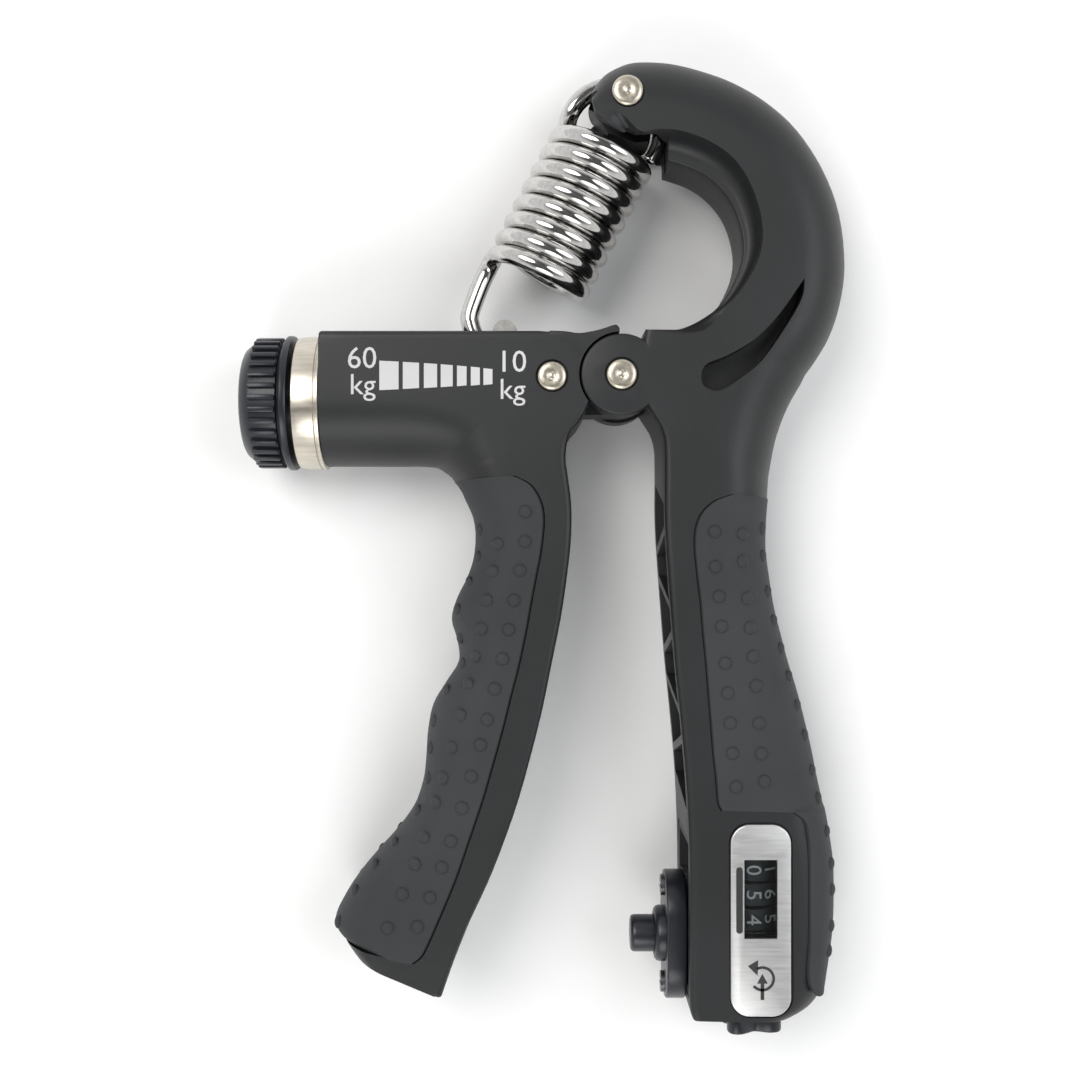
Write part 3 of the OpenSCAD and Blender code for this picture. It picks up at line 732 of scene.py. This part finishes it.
def addNubs(bm, start, end, across):
    # one nub on the front and one on the back; a negative distance counts from the outer edge
    width = (end - start).length
    direction = (end - start).normalized()
    roundX, roundY = min(grips["roundX"], width * 0.85), grips["roundY"]
    reach = width + across if across < 0 else across
    height, tilt = gripHalf, 0.0
    if reach > width - roundX:
        angle = math.asin(min((reach - (width - roundX)) / roundX, 0.985))
        height = gripHalf - roundY + roundY * math.cos(angle)
        tilt = math.atan2(roundY * math.sin(angle), roundX * math.cos(angle))
    for side in (1, -1):
        made = bmesh.ops.create_uvsphere(bm, u_segments=14, v_segments=8,
                                         radius=grips["nubRadius"] * mm)["verts"]
        bmesh.ops.scale(bm, verts=made, vec=(1, 1, grips["nubHeight"] / grips["nubRadius"]))
        axis = Vector((direction.x * math.sin(tilt), direction.y * math.sin(tilt), side * math.cos(tilt)))
        bmesh.ops.rotate(bm, verts=made, cent=(0, 0, 0), matrix=axis.to_track_quat("Z", "Y").to_matrix())
        spot = place(start.x + direction.x * reach, start.y + direction.y * reach, midZ + side * height)
        bmesh.ops.translate(bm, verts=made, vec=spot - axis * grips["nubSunk"] * mm)


def buildGrip(name, seam, outer, body, node, moulding, mouldingNodes, nubRows):
    cutter = bmesh.new()
    loft(cutter, [gripRing(a, b, frameHalf, grips["cutGrow"]) for a, b in zip(seam[:-1], outer[:-1])])
    cutWith(moulding, looseObject("gripRoom", cutter))
    resharpen(moulding, body, mouldingNodes)
    bm = bmesh.new()
    loft(bm, [gripRing(a, b, gripHalf) for a, b in zip(seam, outer)], endBevel=0.3)
    finishMesh(bm, 50)
    for station, across in nubRows:
        index = min(range(len(seam)), key=lambda k: abs(seam[k].y - station))
        addNubs(bm, Vector(seam[index]), Vector(outer[index]), across)
    for face in bm.faces:
        face.smooth = True
    mesh = bpy.data.meshes.new(name)
    bm.to_mesh(mesh)
    bm.free()
    piece = bpy.data.objects.new(name, mesh)
    bpy.context.scene.collection.objects.link(piece)
    piece.data.materials.append(gripRubber)
    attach(piece, body)
    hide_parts(node)
    return piece


leftSeam = [
    ((-17.8, -16.9), (-28.4, -17.6)), ((-15.2, -18.2), (-27.4, -18.9)),
    ((-13.7, -20.2), (-26.4, -21)), ((-12.9, -22.6), (-25.2, -23.8)),
    ((-12.8, -25.4), (-24.8, -26.8)), ((-13.3, -29.8), (-25.1, -30.6)),
    ((-14, -33.4), (-26.2, -34)), ((-14.8, -37.6), (-28, -37.7)),
    ((-15.5, -41.6), (-28.9, -41.2)), ((-16.3, -45.6), (-27.9, -45)),
    ((-17.2, -49.6), (-27.7, -48.6)), ((-18.3, -53.8), (-29.9, -52.2)),
    ((-19.3, -57.9), (-32.1, -56)), ((-20.4, -62), (-33, -60.5)),
    ((-21.6, -66.2), (-33.3, -65)), ((-22.8, -70.4), (-33.8, -69)),
    ((-24.2, -74.6), (-35.4, -73.6)), ((-25.7, -79), (-38.5, -78)),
    ((-27.2, -83.4), (-41.9, -81.8)), ((-28.8, -87.4), (-44.9, -85.4)),
    ((-30.5, -91.4), (-47.2, -88.8)), ((-32, -94.8), (-48.9, -92.4)),
    ((-33.2, -97), (-48.2, -94.6)), ((-34.9, -98.3), (-46, -95.6)),
]
leftSeamRun = throughPoints([q[0] for q in leftSeam], 4)
leftOuterRun = throughPoints([q[1] for q in leftSeam], 4)
leftRows = []
for k in range(15):
    y = -22.4 - 5.0 * k
    leftRows.append((y, 3.1))
    if k > 0:
        leftRows.append((y - 0.4, 7.7))
    leftRows.append((y - 2.2, -0.9))
buildGrip("left_grip_skin", leftSeamRun, leftOuterRun, "frame", "left_grip", leftMoulding,
          ["left_frame"], leftRows)

rightSeam = [
    ((18.2, -20.0), (25.75, -20.6)), ((15.4, -21), (25.65, -22)),
    ((13.3, -22.8), (25.5, -24)), ((12.2, -25.2), (25.4, -26.4)),
    ((11.9, -28.4), (25.4, -29.4)), ((12.3, -33), (26, -34)),
    ((12.9, -38), (26.8, -39)), ((13.3, -43), (28, -43.8)),
    ((13.8, -48), (29.2, -48.4)), ((14.2, -53), (30.7, -53.2)),
    ((14.6, -58), (32, -58.2)), ((15, -63), (33.2, -63.2)),
    ((15.5, -67.6), (34.1, -67.8)), ((15.8, -71.2), (34.9, -71.4)),
    ((16.4, -72.6), (35.2, -72.8)), ((28.3, -72.9), (35.5, -73.6)),
    ((30.2, -74.4), (35.7, -75)), ((30.8, -77.4), (36.1, -77.6)),
    ((31, -82), (36.8, -82.2)), ((31, -88), (36.95, -88)),
    ((31, -94), (36.7, -94)), ((30.8, -99), (36, -99)),
    ((31.1, -101.6), (35.5, -101.6)), ((32.2, -103.4), (34.9, -103.6)),
]
rightCorner = 15  # the seam turns sharply after this station
rightSeamRun = []
rightOuterRun = []
for part in (rightSeam[:rightCorner], rightSeam[rightCorner:]):
    rightSeamRun += throughPoints([q[0] for q in part], 4)
    rightOuterRun += throughPoints([q[1] for q in part], 4)
rightRows = []
for k in range(9):
    y = -26.2 - 5.3 * k
    rightRows.append((y, 3.4))
    rightRows.append((y + 0.6, 8.2))
for k in range(15):
    rightRows.append((-24.5 - 5.2 * k, -1.3))
buildGrip("right_grip_skin", rightSeamRun, rightOuterRun, "lever", "right_grip", leverMoulding,
          ["right_lever"], rightRows)
print("handles and grips built")

# the tension spring is one wire from hook to hook
wireShape = {
    "radius": 1.6,
    "coilRadius": 8.0,
    "pitch": 3.3,
    "turns": 8,
    "coilFrom": 11.4,
    "lowHook": (3.4, 0.9, 7),   # along the spring, across it, and radius
    "upHook": (4.3, 8),         # short of the pin, and radius
    "sides": 16,
    "perTurn": 40,
}


def sweepWire(bm, path, radius, sides):
    rings = []
    normal = Vector((0.1, 0.2, 1))
    for i, point in enumerate(path):
        ahead = (path[min(i + 1, len(path) - 1)] - path[max(i - 1, 0)]).normalized()
        normal = (normal - ahead * normal.dot(ahead)).normalized()
        side = ahead.cross(normal)
        rings.append([point + (normal * math.cos(a) + side * math.sin(a)) * radius * mm
                      for a in (2 * math.pi * k / sides for k in range(sides))])
    loft(bm, rings, endBevel=0.35)


def buildSpring():
    foot, pin = Vector((-19.6, 7.9)), Vector((1, 47.2))
    along = (pin - foot).normalized()
    side = Vector((-along.y, along.x))
    length = (pin - foot).length

    def spot(a, s, z):
        flat = foot + along * a + side * s
        return place(flat.x, flat.y, midZ + z)

    r = wireShape["coilRadius"]
    hookAlong, hookAcross, hookRadius = wireShape["lowHook"]
    lowHook = [(hookAlong + hookRadius * math.cos(a), hookAcross + hookRadius * math.sin(a), 0)
               for a in (math.radians(degrees) for degrees in range(250, 100, -15))]
    start = wireShape["coilFrom"]
    top = start + wireShape["pitch"] * wireShape["turns"]
    lowHook += [(4.4, 7.85, 0), (7.2, 8.1, -0.1), (9.2, 8.1, 0.3), (start - 0.7, 7.95, 1.4),
                (start + 0.1, 7.55, 2.8)]
    path = [spot(*q) for q in throughPoints(lowHook, 5)]
    count = wireShape["turns"] * wireShape["perTurn"]
    for k in range(3, count - 2):
        t = k / wireShape["perTurn"]
        path.append(spot(wireShape["coilFrom"] + wireShape["pitch"] * t, r * math.cos(2 * math.pi * t),
                         r * math.sin(2 * math.pi * t)))
    short, upRadius = wireShape["upHook"]
    centre = length - short
    bend = [(top - 0.25, 7.13, -3.63), (top + 0.05, 7.55, -2.7), (top + 0.7, 7.9, -1.35),
            (top + 1.7, 8.05, -0.4), (top + 2.8, 8.0, -0.05), (centre + 1.66, 7.82, 0)]
    path += [spot(*q) for q in throughPoints(bend, 4)][1:-1]
    path += [spot(centre + upRadius * math.cos(a), upRadius * math.sin(a), 0)
             for a in (math.radians(degrees) for degrees in range(78, -104, -5))]
    bm = bmesh.new()
    sweepWire(bm, path, wireShape["radius"], wireShape["sides"])
    piece = makePiece("tension_spring_wire", bm, springChrome, sharpAngle=60)
    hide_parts("spring_lower", "spring_upper")
    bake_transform(piece)
    return piece


buildSpring()
print("spring built")

# rivets: a dimpled head with a rounded rim at each face, on one shank
rivetForm = {"sunk": 0.2, "rim": 0.85, "shank": 1.75}
rivets = {
    "hinge_rivet": {"node": "hinge_pin", "body": "hinge_pin", "spot": (0, 0), "head": 2.62},
    "spring_rivet": {"node": "spring_pin", "body": "lever", "spot": (1, 47.2), "head": 2.62},
    "bearing_rivet_turned": {"node": "bearing_rivet", "body": "frame", "spot": (-11.6, -0.3), "head": 2.5},
}


def buildRivet(name, shape):
    # depth below the face and share of the head's radius, from the dimple out to the rim
    dome = [(0, 0), (0, 0.18), (0.1, 0.24), (0.02, 0.32), (0.02, 0.72), (0.12, 0.86), (0.35, 0.96),
            (0.6, 1),
            (rivetForm["rim"], 1)]
    sunk = rivetForm["sunk"]
    front = [(sunk + depth, shape["head"] * share) for depth, share in dome]
    front.append((sunk + rivetForm["rim"], rivetForm["shank"]))
    profile = front + [(fullDepth - z, r) for z, r in reversed(front)]
    bm = bmesh.new()
    spinProfile(bm, profile, (shape["spot"][0], shape["spot"][1], 0), (0, 0, 1), 64)
    makePiece(name, bm, rivetNickel, shape["body"], [shape["node"]], 40)


for name, shape in rivets.items():
    buildRivet(name, shape)

# knob, cap and ferrule lie on the lead screw's line
screwY = -3.8
knob = {
    "bars": 34,
    "barSize": (4.5, 0.95, 1.5),
    "barBevel": 0.22,
    "barAt": -60.2,
    "barRadius": 10.55,
}


def addKnobBar(bm, angle):
    bar = bmesh.ops.create_cube(bm, size=1)["verts"]
    bmesh.ops.scale(bm, verts=bar, vec=Vector(knob["barSize"]) * mm)
    edges = list({e for v in bar for e in v.link_edges})
    bevelled = bmesh.ops.bevel(bm, geom=edges, offset=knob["barBevel"] * mm, segments=2, profile=0.5,
                               affect="EDGES", material=-1)
    bar = list({v for f in bevelled["faces"] for v in f.verts} | {v for v in bar if v.is_valid})
    bmesh.ops.translate(bm, verts=bar, vec=Vector((0, 0, knob["barRadius"])) * mm)
    bmesh.ops.rotate(bm, verts=bar, cent=(0, 0, 0), matrix=Matrix.Rotation(math.radians(angle), 3, "X"))
    bmesh.ops.translate(bm, verts=bar, vec=place(knob["barAt"], screwY, midZ))


def buildKnob():
    bm = bmesh.new()
    rim = [(-57.7, 10.2), (-57.4, 10.1), (-57.2, 10.5), (-57.15, 11.45), (-56.95, 11.65), (-56.25, 11.65),
           (-56.0, 11.5), (-55.95, 10.6)]
    drum = [(-64.2, 4.6), (-64.4, 5.0), (-64.35, 8.7), (-64.0, 9.4), (-62.9, 10.3), (-62.3, 10.55),
            (-57.9, 10.65)]
    spinProfile(bm, drum + rim + [(-55.95, 3.0), (-62.0, 3.0), (-62.0, 4.4)], (0, screwY, midZ),
                (1, 0, 0), 96)
    for k in range(knob["bars"]):
        addKnobBar(bm, 360 * k / knob["bars"])
    makePiece("tension_knob_barred", bm, knobBlack, "adjuster", ["tension_knob"], 40)


def buildKnobCap():
    bm = bmesh.new()
    profile = [(-64.9, 0), (-65.0, 0.6), (-65.0, 3.6), (-64.85, 4.2), (-64.5, 4.45), (-62.4, 4.3),
               (-62.2, 0)]
    spinProfile(bm, profile, (0, screwY, midZ), (1, 0, 0), 64)
    makePiece("knob_cap_disc", bm, innerBlack, "adjuster", ["knob_cap"], 40)


def buildFerrule():
    bm = bmesh.new()
    profile = [(-55.35, 8.1), (-55.35, 10.9), (-55.1, 11.25), (-54.2, 11.45), (-52.2, 11.5), (-51.5, 11.5),
               (-51.35, 11.3), (-51.2, 11.3), (-51.1, 11.5), (-50.7, 11.5), (-50.55, 11.3), (-50.55, 8.1),
               (-55.35, 8.1)]
    spinProfile(bm, profile, (0, screwY, midZ), (1, 0, 0), 128)
    makePiece("knob_ferrule_turned", bm, ferruleSatin, "frame", ["knob_ferrule"], 40)


buildKnob()
buildKnobCap()
buildFerrule()
print("knob and rivets built")

# counter: a satin plate with its prints over the wheel window
counterPlate = {
    "edges": (18.05, 28.1, -74.85, -106.75),  # left, right, top, bottom
    "corner": 3.2,
    "bottomInset": 0.62,
    "topInset": 0.12,
    "edgeBevel": 0.22,
    "window": ((20.3, -93.8), (25.8, -80.7)),
    "printInset": 0.09,
    "printDepth": 0.06,
    "bar": (18.95, 20.05, -81.9, -92.9),
    "markCentre": (23.3, -100.4),
    "markRadii": (2.1, 1.65),
}


def pill(left, right, top, bottom, radius, steps=10):
    return (arcPoints((left + radius, top - radius), radius, 180, 90, steps)
            + arcPoints((right - radius, top - radius), radius, 90, 0, steps)
            + arcPoints((right - radius, bottom + radius), radius, 0, -90, steps)
            + arcPoints((left + radius, bottom + radius), radius, -90, -180, steps))


def buildCounterPlate():
    bm = bmesh.new()
    high = fullDepth - counterPlate["topInset"]
    extrudeOutline(bm, pill(*counterPlate["edges"], counterPlate["corner"]),
                   fullDepth - counterPlate["bottomInset"], high)
    faceEdge = [e for e in bm.edges if all(v.co.z > (high - 0.08) * mm for v in e.verts)]
    bmesh.ops.bevel(bm, geom=faceEdge, offset=counterPlate["edgeBevel"] * mm, segments=3, profile=0.5,
                    affect="EDGES", material=-1)
    plate = makePiece("counter_plate_satin", bm, plateSilver)
    (left, bottom), (right, top) = counterPlate["window"]
    cut = bmesh.new()
    addBox(cut, (left, bottom, fullDepth - 2), (right, top, fullDepth + 1))
    cutWith(plate, looseObject("windowCut", cut))
    resharpen(plate, "lever", ["counter_faceplate"])


def flatPrint(name, outlines, material, body, low, high):
    bm = bmesh.new()
    for outline in outlines:
        extrudeOutline(bm, outline, low, high)
    makePiece(name, bm, material, body, ())


def buildPlatePrints():
    high = fullDepth - counterPlate["printInset"]
    low = high - counterPlate["printDepth"]
    flatPrint("plate_dark_bar", [pill(*counterPlate["bar"], 0.5, 6)], printDark, "lever", low, high)
    centre = counterPlate["markCentre"]
    outer, inner = counterPlate["markRadii"]
    turnArrow = arcPoints(centre, outer, 120, -140, 26) + arcPoints(centre, inner, -140, 120, 26)
    arrowHead = [(22.6, -97.3), (20.9, -98.3), (22.5, -99.9)]
    pushArrow = [(23.0, -103.9), (23.6, -103.9), (23.6, -101.2), (24.2, -101.2), (23.3, -99.6),
                 (22.4, -101.2),
                 (23.0, -101.2)]
    flatPrint("plate_push_turn_mark", [turnArrow, arrowHead, pushArrow], printDark, "lever", low, high)


def addText(bm, text, size, transform, depth):
    # letters become mesh before they are placed
    curve = bpy.data.curves.new("letters", "FONT")
    curve.body = text
    curve.size = size * mm
    curve.extrude = depth * mm / 2
    curve.align_x = "CENTER"
    curve.align_y = "CENTER"
    curve.resolution_u = 3
    letters = bpy.data.objects.new("letters", curve)
    bpy.context.scene.collection.objects.link(letters)
    bpy.context.view_layer.update()
    depsgraph = bpy.context.evaluated_depsgraph_get()
    mesh = bpy.data.meshes.new_from_object(letters.evaluated_get(depsgraph))
    mesh.transform(transform)
    bm.from_mesh(mesh)
    bpy.data.objects.remove(letters)
    bpy.data.curves.remove(curve)
    bpy.data.meshes.remove(mesh)


# number wheels stand side by side on one shaft, with their digits round the rim
wheelForm = {"axisX": 22.2, "axisZ": 15.5, "width": 3.9, "radius": 4.9, "bore": 1.6, "digit": 3.6,
             "depth": 0.06}
numberWheels = [
    {"name": "hundreds_wheel", "node": "number_wheel_hundreds", "body": "wheel_hundreds", "top": -81.1,
     "shown": 0},
    {"name": "tens_wheel", "node": "number_wheel_tens", "body": "wheel_tens", "top": -85.3, "shown": 5},
    {"name": "units_wheel", "node": "number_wheel_units", "body": "wheel_units", "top": -89.5, "shown": 4},
]


def buildNumberWheel(wheel):
    high = wheel["top"]
    low = high - wheelForm["width"]
    radius, bore = wheelForm["radius"], wheelForm["bore"]
    profile = [(low, bore), (low, radius - 0.2), (low + 0.15, radius), (high - 0.15, radius),
               (high, radius - 0.2), (high, bore), (low, bore)]
    bm = bmesh.new()
    spinProfile(bm, profile, (wheelForm["axisX"], 0, wheelForm["axisZ"]), (0, 1, 0), 60)
    makePiece(wheel["name"], bm, wheelDark, wheel["body"], [wheel["node"]], 40)
    digits = bmesh.new()
    centre = Matrix.Translation(place(wheelForm["axisX"], (low + high) / 2, wheelForm["axisZ"]))
    lift = Matrix.Translation(Vector((0, 0, radius + 0.01)) * mm)
    lay = Matrix.Rotation(math.radians(-90), 4, "Z")
    for digit in range(10):
        turn = Matrix.Rotation(math.radians(36 * (digit - wheel["shown"])), 4, "Y")
        addText(digits, str(digit), wheelForm["digit"], centre @ turn @ lift @ lay, wheelForm["depth"])
    makePiece(wheel["name"] + "_numerals", digits, printPale, wheel["body"], ())


buildCounterPlate()
buildPlatePrints()
for wheel in numberWheels:
    buildNumberWheel(wheel)

# the plunger slides in a flange on the lever's inner side
plungerY = -96.1
flange = {"face": 8.0, "depth": 3.4, "endRadius": 7, "endOffset": 4, "bevel": 0.35}


def bevelRims(bm, axis, size):
    # softens the edges that lie square to an axis
    rim = [e for e in bm.edges if abs(e.verts[0].co[axis] - e.verts[1].co[axis]) < 1e-6]
    bmesh.ops.bevel(bm, geom=rim, offset=size * mm, segments=3, profile=0.5, affect="EDGES", material=-1)


def raiseOutline(bm, points, vector):
    verts = [bm.verts.new(place(*point)) for point in points]
    made = bmesh.ops.extrude_face_region(bm, geom=[bm.faces.new(verts)])["geom"]
    raised = [v for v in made if isinstance(v, bmesh.types.BMVert)]
    bmesh.ops.translate(bm, verts=raised, vec=Vector(vector) * mm)


def buildPlunger():
    bm = bmesh.new()
    button = [(2.1, 0), (2.1, 2.5), (2.2, 2.85), (2.5, 3.1), (3.0, 3.15), (12.8, 3.15), (13.0, 3.0)]
    stem = [(13.0, 1.1), (21.4, 1.1), (21.5, 0.9), (21.5, 0)]
    spinProfile(bm, button + stem, (0, plungerY, midZ), (1, 0, 0), 64)
    makePiece("plunger_rod", bm, knobBlack, "plunger", ["plunger"], 40)


def buildFlange():
    offset, radius = flange["endOffset"], flange["endRadius"]
    outline = arcPoints((offset, 0), radius, 90, -90, 20) + arcPoints((-offset, 0), radius, -90, -270, 20)
    bm = bmesh.new()
    raiseOutline(bm, [(flange["face"], plungerY + y, midZ + z) for y, z in outline],
                 (flange["depth"], 0, 0))
    bevelRims(bm, 0, flange["bevel"])
    collar = [(8.4, 3.2), (6.9, 3.2), (6.45, 3.35), (6.2, 3.7), (6.25, 4.2), (6.6, 4.6), (7.1, 4.75),
              (8.4, 4.75),
              (8.4, 3.2)]
    spinProfile(bm, collar, (0, plungerY, midZ), (1, 0, 0), 64)
    makePiece("plunger_flange_plate", bm, knobBlack, "lever", ["plunger_flange"], 40)


resetKnob = {"low": -110.85, "height": 2.85, "radius": 4.75, "lobe": 1.2, "lobes": 4, "turned": 36,
             "bevel": 0.45}


def buildResetKnob():
    outline = []
    for k in range(72):
        angle = math.radians(5 * k)
        wave = math.cos(resetKnob["lobes"] * (angle - math.radians(resetKnob["turned"])))
        reach = resetKnob["radius"] + resetKnob["lobe"] * wave
        outline.append((wheelForm["axisX"] + reach * math.cos(angle), resetKnob["low"],
                        wheelForm["axisZ"] + reach * math.sin(angle)))
    bm = bmesh.new()
    raiseOutline(bm, outline, (0, resetKnob["height"], 0))
    bevelRims(bm, 1, resetKnob["bevel"])
    makePiece("reset_knob_lobed", bm, knobBlack, "reset_turn", ["reset_knob"], 40)


buildPlunger()
buildFlange()
buildResetKnob()

# scale printed on the arm: the two end loads, and shrinking bars between them
loadScale = {
    "print": 0.03,
    "slant": 0.15,
    # left, right, top and bottom of each bar
    "bars": [(-40.3, -37.1, 2.2, -2.7), (-36.4, -33.7, 2.0, -2.5), (-32.9, -30.7, 1.8, -2.35),
             (-30.1, -28.1, 1.6, -2.2), (-27.4, -25.8, 1.4, -2.05), (-25.1, -23.6, 1.2, -1.95),
             (-23.0, -21.5, 0.95, -1.85)],
    "words": [("60", -43.2, 2.5, 5.1), ("kg", -43.1, -1.9, 4.9), ("10", -18.3, 1.9, 5.1),
              ("kg", -18.2, -2.7, 4.9)],
}


def buildLoadScale():
    face = fullDepth - faceInset
    thin, slant = loadScale["print"], loadScale["slant"]
    bars = [[(left, top), (right, top - slant), (right, bottom + slant), (left, bottom)]
            for left, right, top, bottom in loadScale["bars"]]
    flatPrint("load_scale_bars", bars, printPale, "frame", face - thin, face + thin)
    bm = bmesh.new()
    for word, x, y, size in loadScale["words"]:
        addText(bm, word, size, Matrix.Translation(place(x, y, face)), thin * 2)
    makePiece("load_scale_numbers", bm, printPale, "frame", ())


buildLoadScale()

# the remaining parts keep their own mesh and take a finish
finishOf = {
    "lead_screw": zincSteel,
    "thrust_washer": zincSteel,
    "hinge_washers": zincSteel,
    "carriage_nut": zincSteel,
    "hook_pin": zincSteel,
    "wheel_shaft": zincSteel,
    "pinion_shaft": zincSteel,
    "reset_shaft": zincSteel,
    "ratchet_pawl": zincSteel,
    "retaining_ring": darkSteel,
    "flange_screws": darkSteel,
    "screw_bearing": bronze,
    "counter_case": innerBlack,
    "counter_window": windowClear,
    "transfer_pinions": gearIvory,
    "plunger_spring": springChrome,
    "reset_spring": springChrome,
}
for node, material in finishOf.items():
    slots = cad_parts[node].data.materials
    if not slots:
        slots.append(material)
    for index in range(len(slots)):
        slots[index] = material
print("counter and prints built")

# studio: pale floor, three soft lights and a dome that is darker overhead
floorForm = {"reach": 1.5, "below": 0.00002}
lights = {
    "key": {"at": (-0.35, 0.30, 0.75), "size": 0.55, "power": 4.0, "tint": (1.0, 0.99, 0.97)},
    "fill": {"at": (0.55, 0.10, 0.70), "size": 0.60, "power": 2.5, "tint": (0.96, 0.98, 1.0)},
    "low": {"at": (-0.10, -0.60, 0.60), "size": 0.50, "power": 2.1, "tint": (1.0, 1.0, 1.0)},
}
domeStops = [(0.0, 0.95), (0.55, 0.85), (0.72, 0.35), (0.88, 0.10), (1.0, 0.14)]
view = {"height": 248.5, "fieldOfView": 43.4, "aim": (-13.6, -27.6)}


def buildFloor():
    material = mouldedPlastic("plain pale floor", 0.90, 0.93, 0.7, 0.8, 40, 0.02, (1, 1, 1))
    bm = bmesh.new()
    bmesh.ops.create_grid(bm, x_segments=1, y_segments=1, size=floorForm["reach"])
    bmesh.ops.translate(bm, verts=bm.verts, vec=(0, 0, -floorForm["below"]))
    makePiece("floor", bm, material)


def addLight(name, setting):
    light = bpy.data.lights.new(name, "AREA")
    light.shape = "DISK"
    light.size = setting["size"]
    light.energy = setting["power"]
    light.color = setting["tint"]
    lamp = bpy.data.objects.new(name, light)
    lamp.location = setting["at"]
    lamp.rotation_euler = (-Vector(setting["at"])).to_track_quat("-Z", "Y").to_euler()
    bpy.context.scene.collection.objects.link(lamp)


def addCamera():
    camera = bpy.data.objects.new("camera", bpy.data.cameras.new("camera"))
    bpy.context.scene.collection.objects.link(camera)
    camera.location = place(view["aim"][0], view["aim"][1], view["height"])
    camera.data.lens_unit = "FOV"
    camera.data.angle = math.radians(view["fieldOfView"])
    bpy.context.scene.camera = camera


def addDome():
    world = bpy.data.worlds.new("studio")
    world.use_nodes = True
    tree = world.node_tree
    direction = addNode(tree, "ShaderNodeTexCoord")
    split = addNode(tree, "ShaderNodeSeparateXYZ")
    tree.links.new(direction.outputs["Generated"], split.inputs[0])
    color = ramp(tree, split.outputs["Z"], [(height, grey(value)) for height, value in domeStops])
    tree.links.new(color, tree.nodes["Background"].inputs["Color"])
    bpy.context.scene.world = world


buildFloor()
for name, setting in lights.items():
    addLight(name, setting)
addCamera()
addDome()
bpy.context.scene.view_settings.view_transform = "Standard"
print("studio ready")
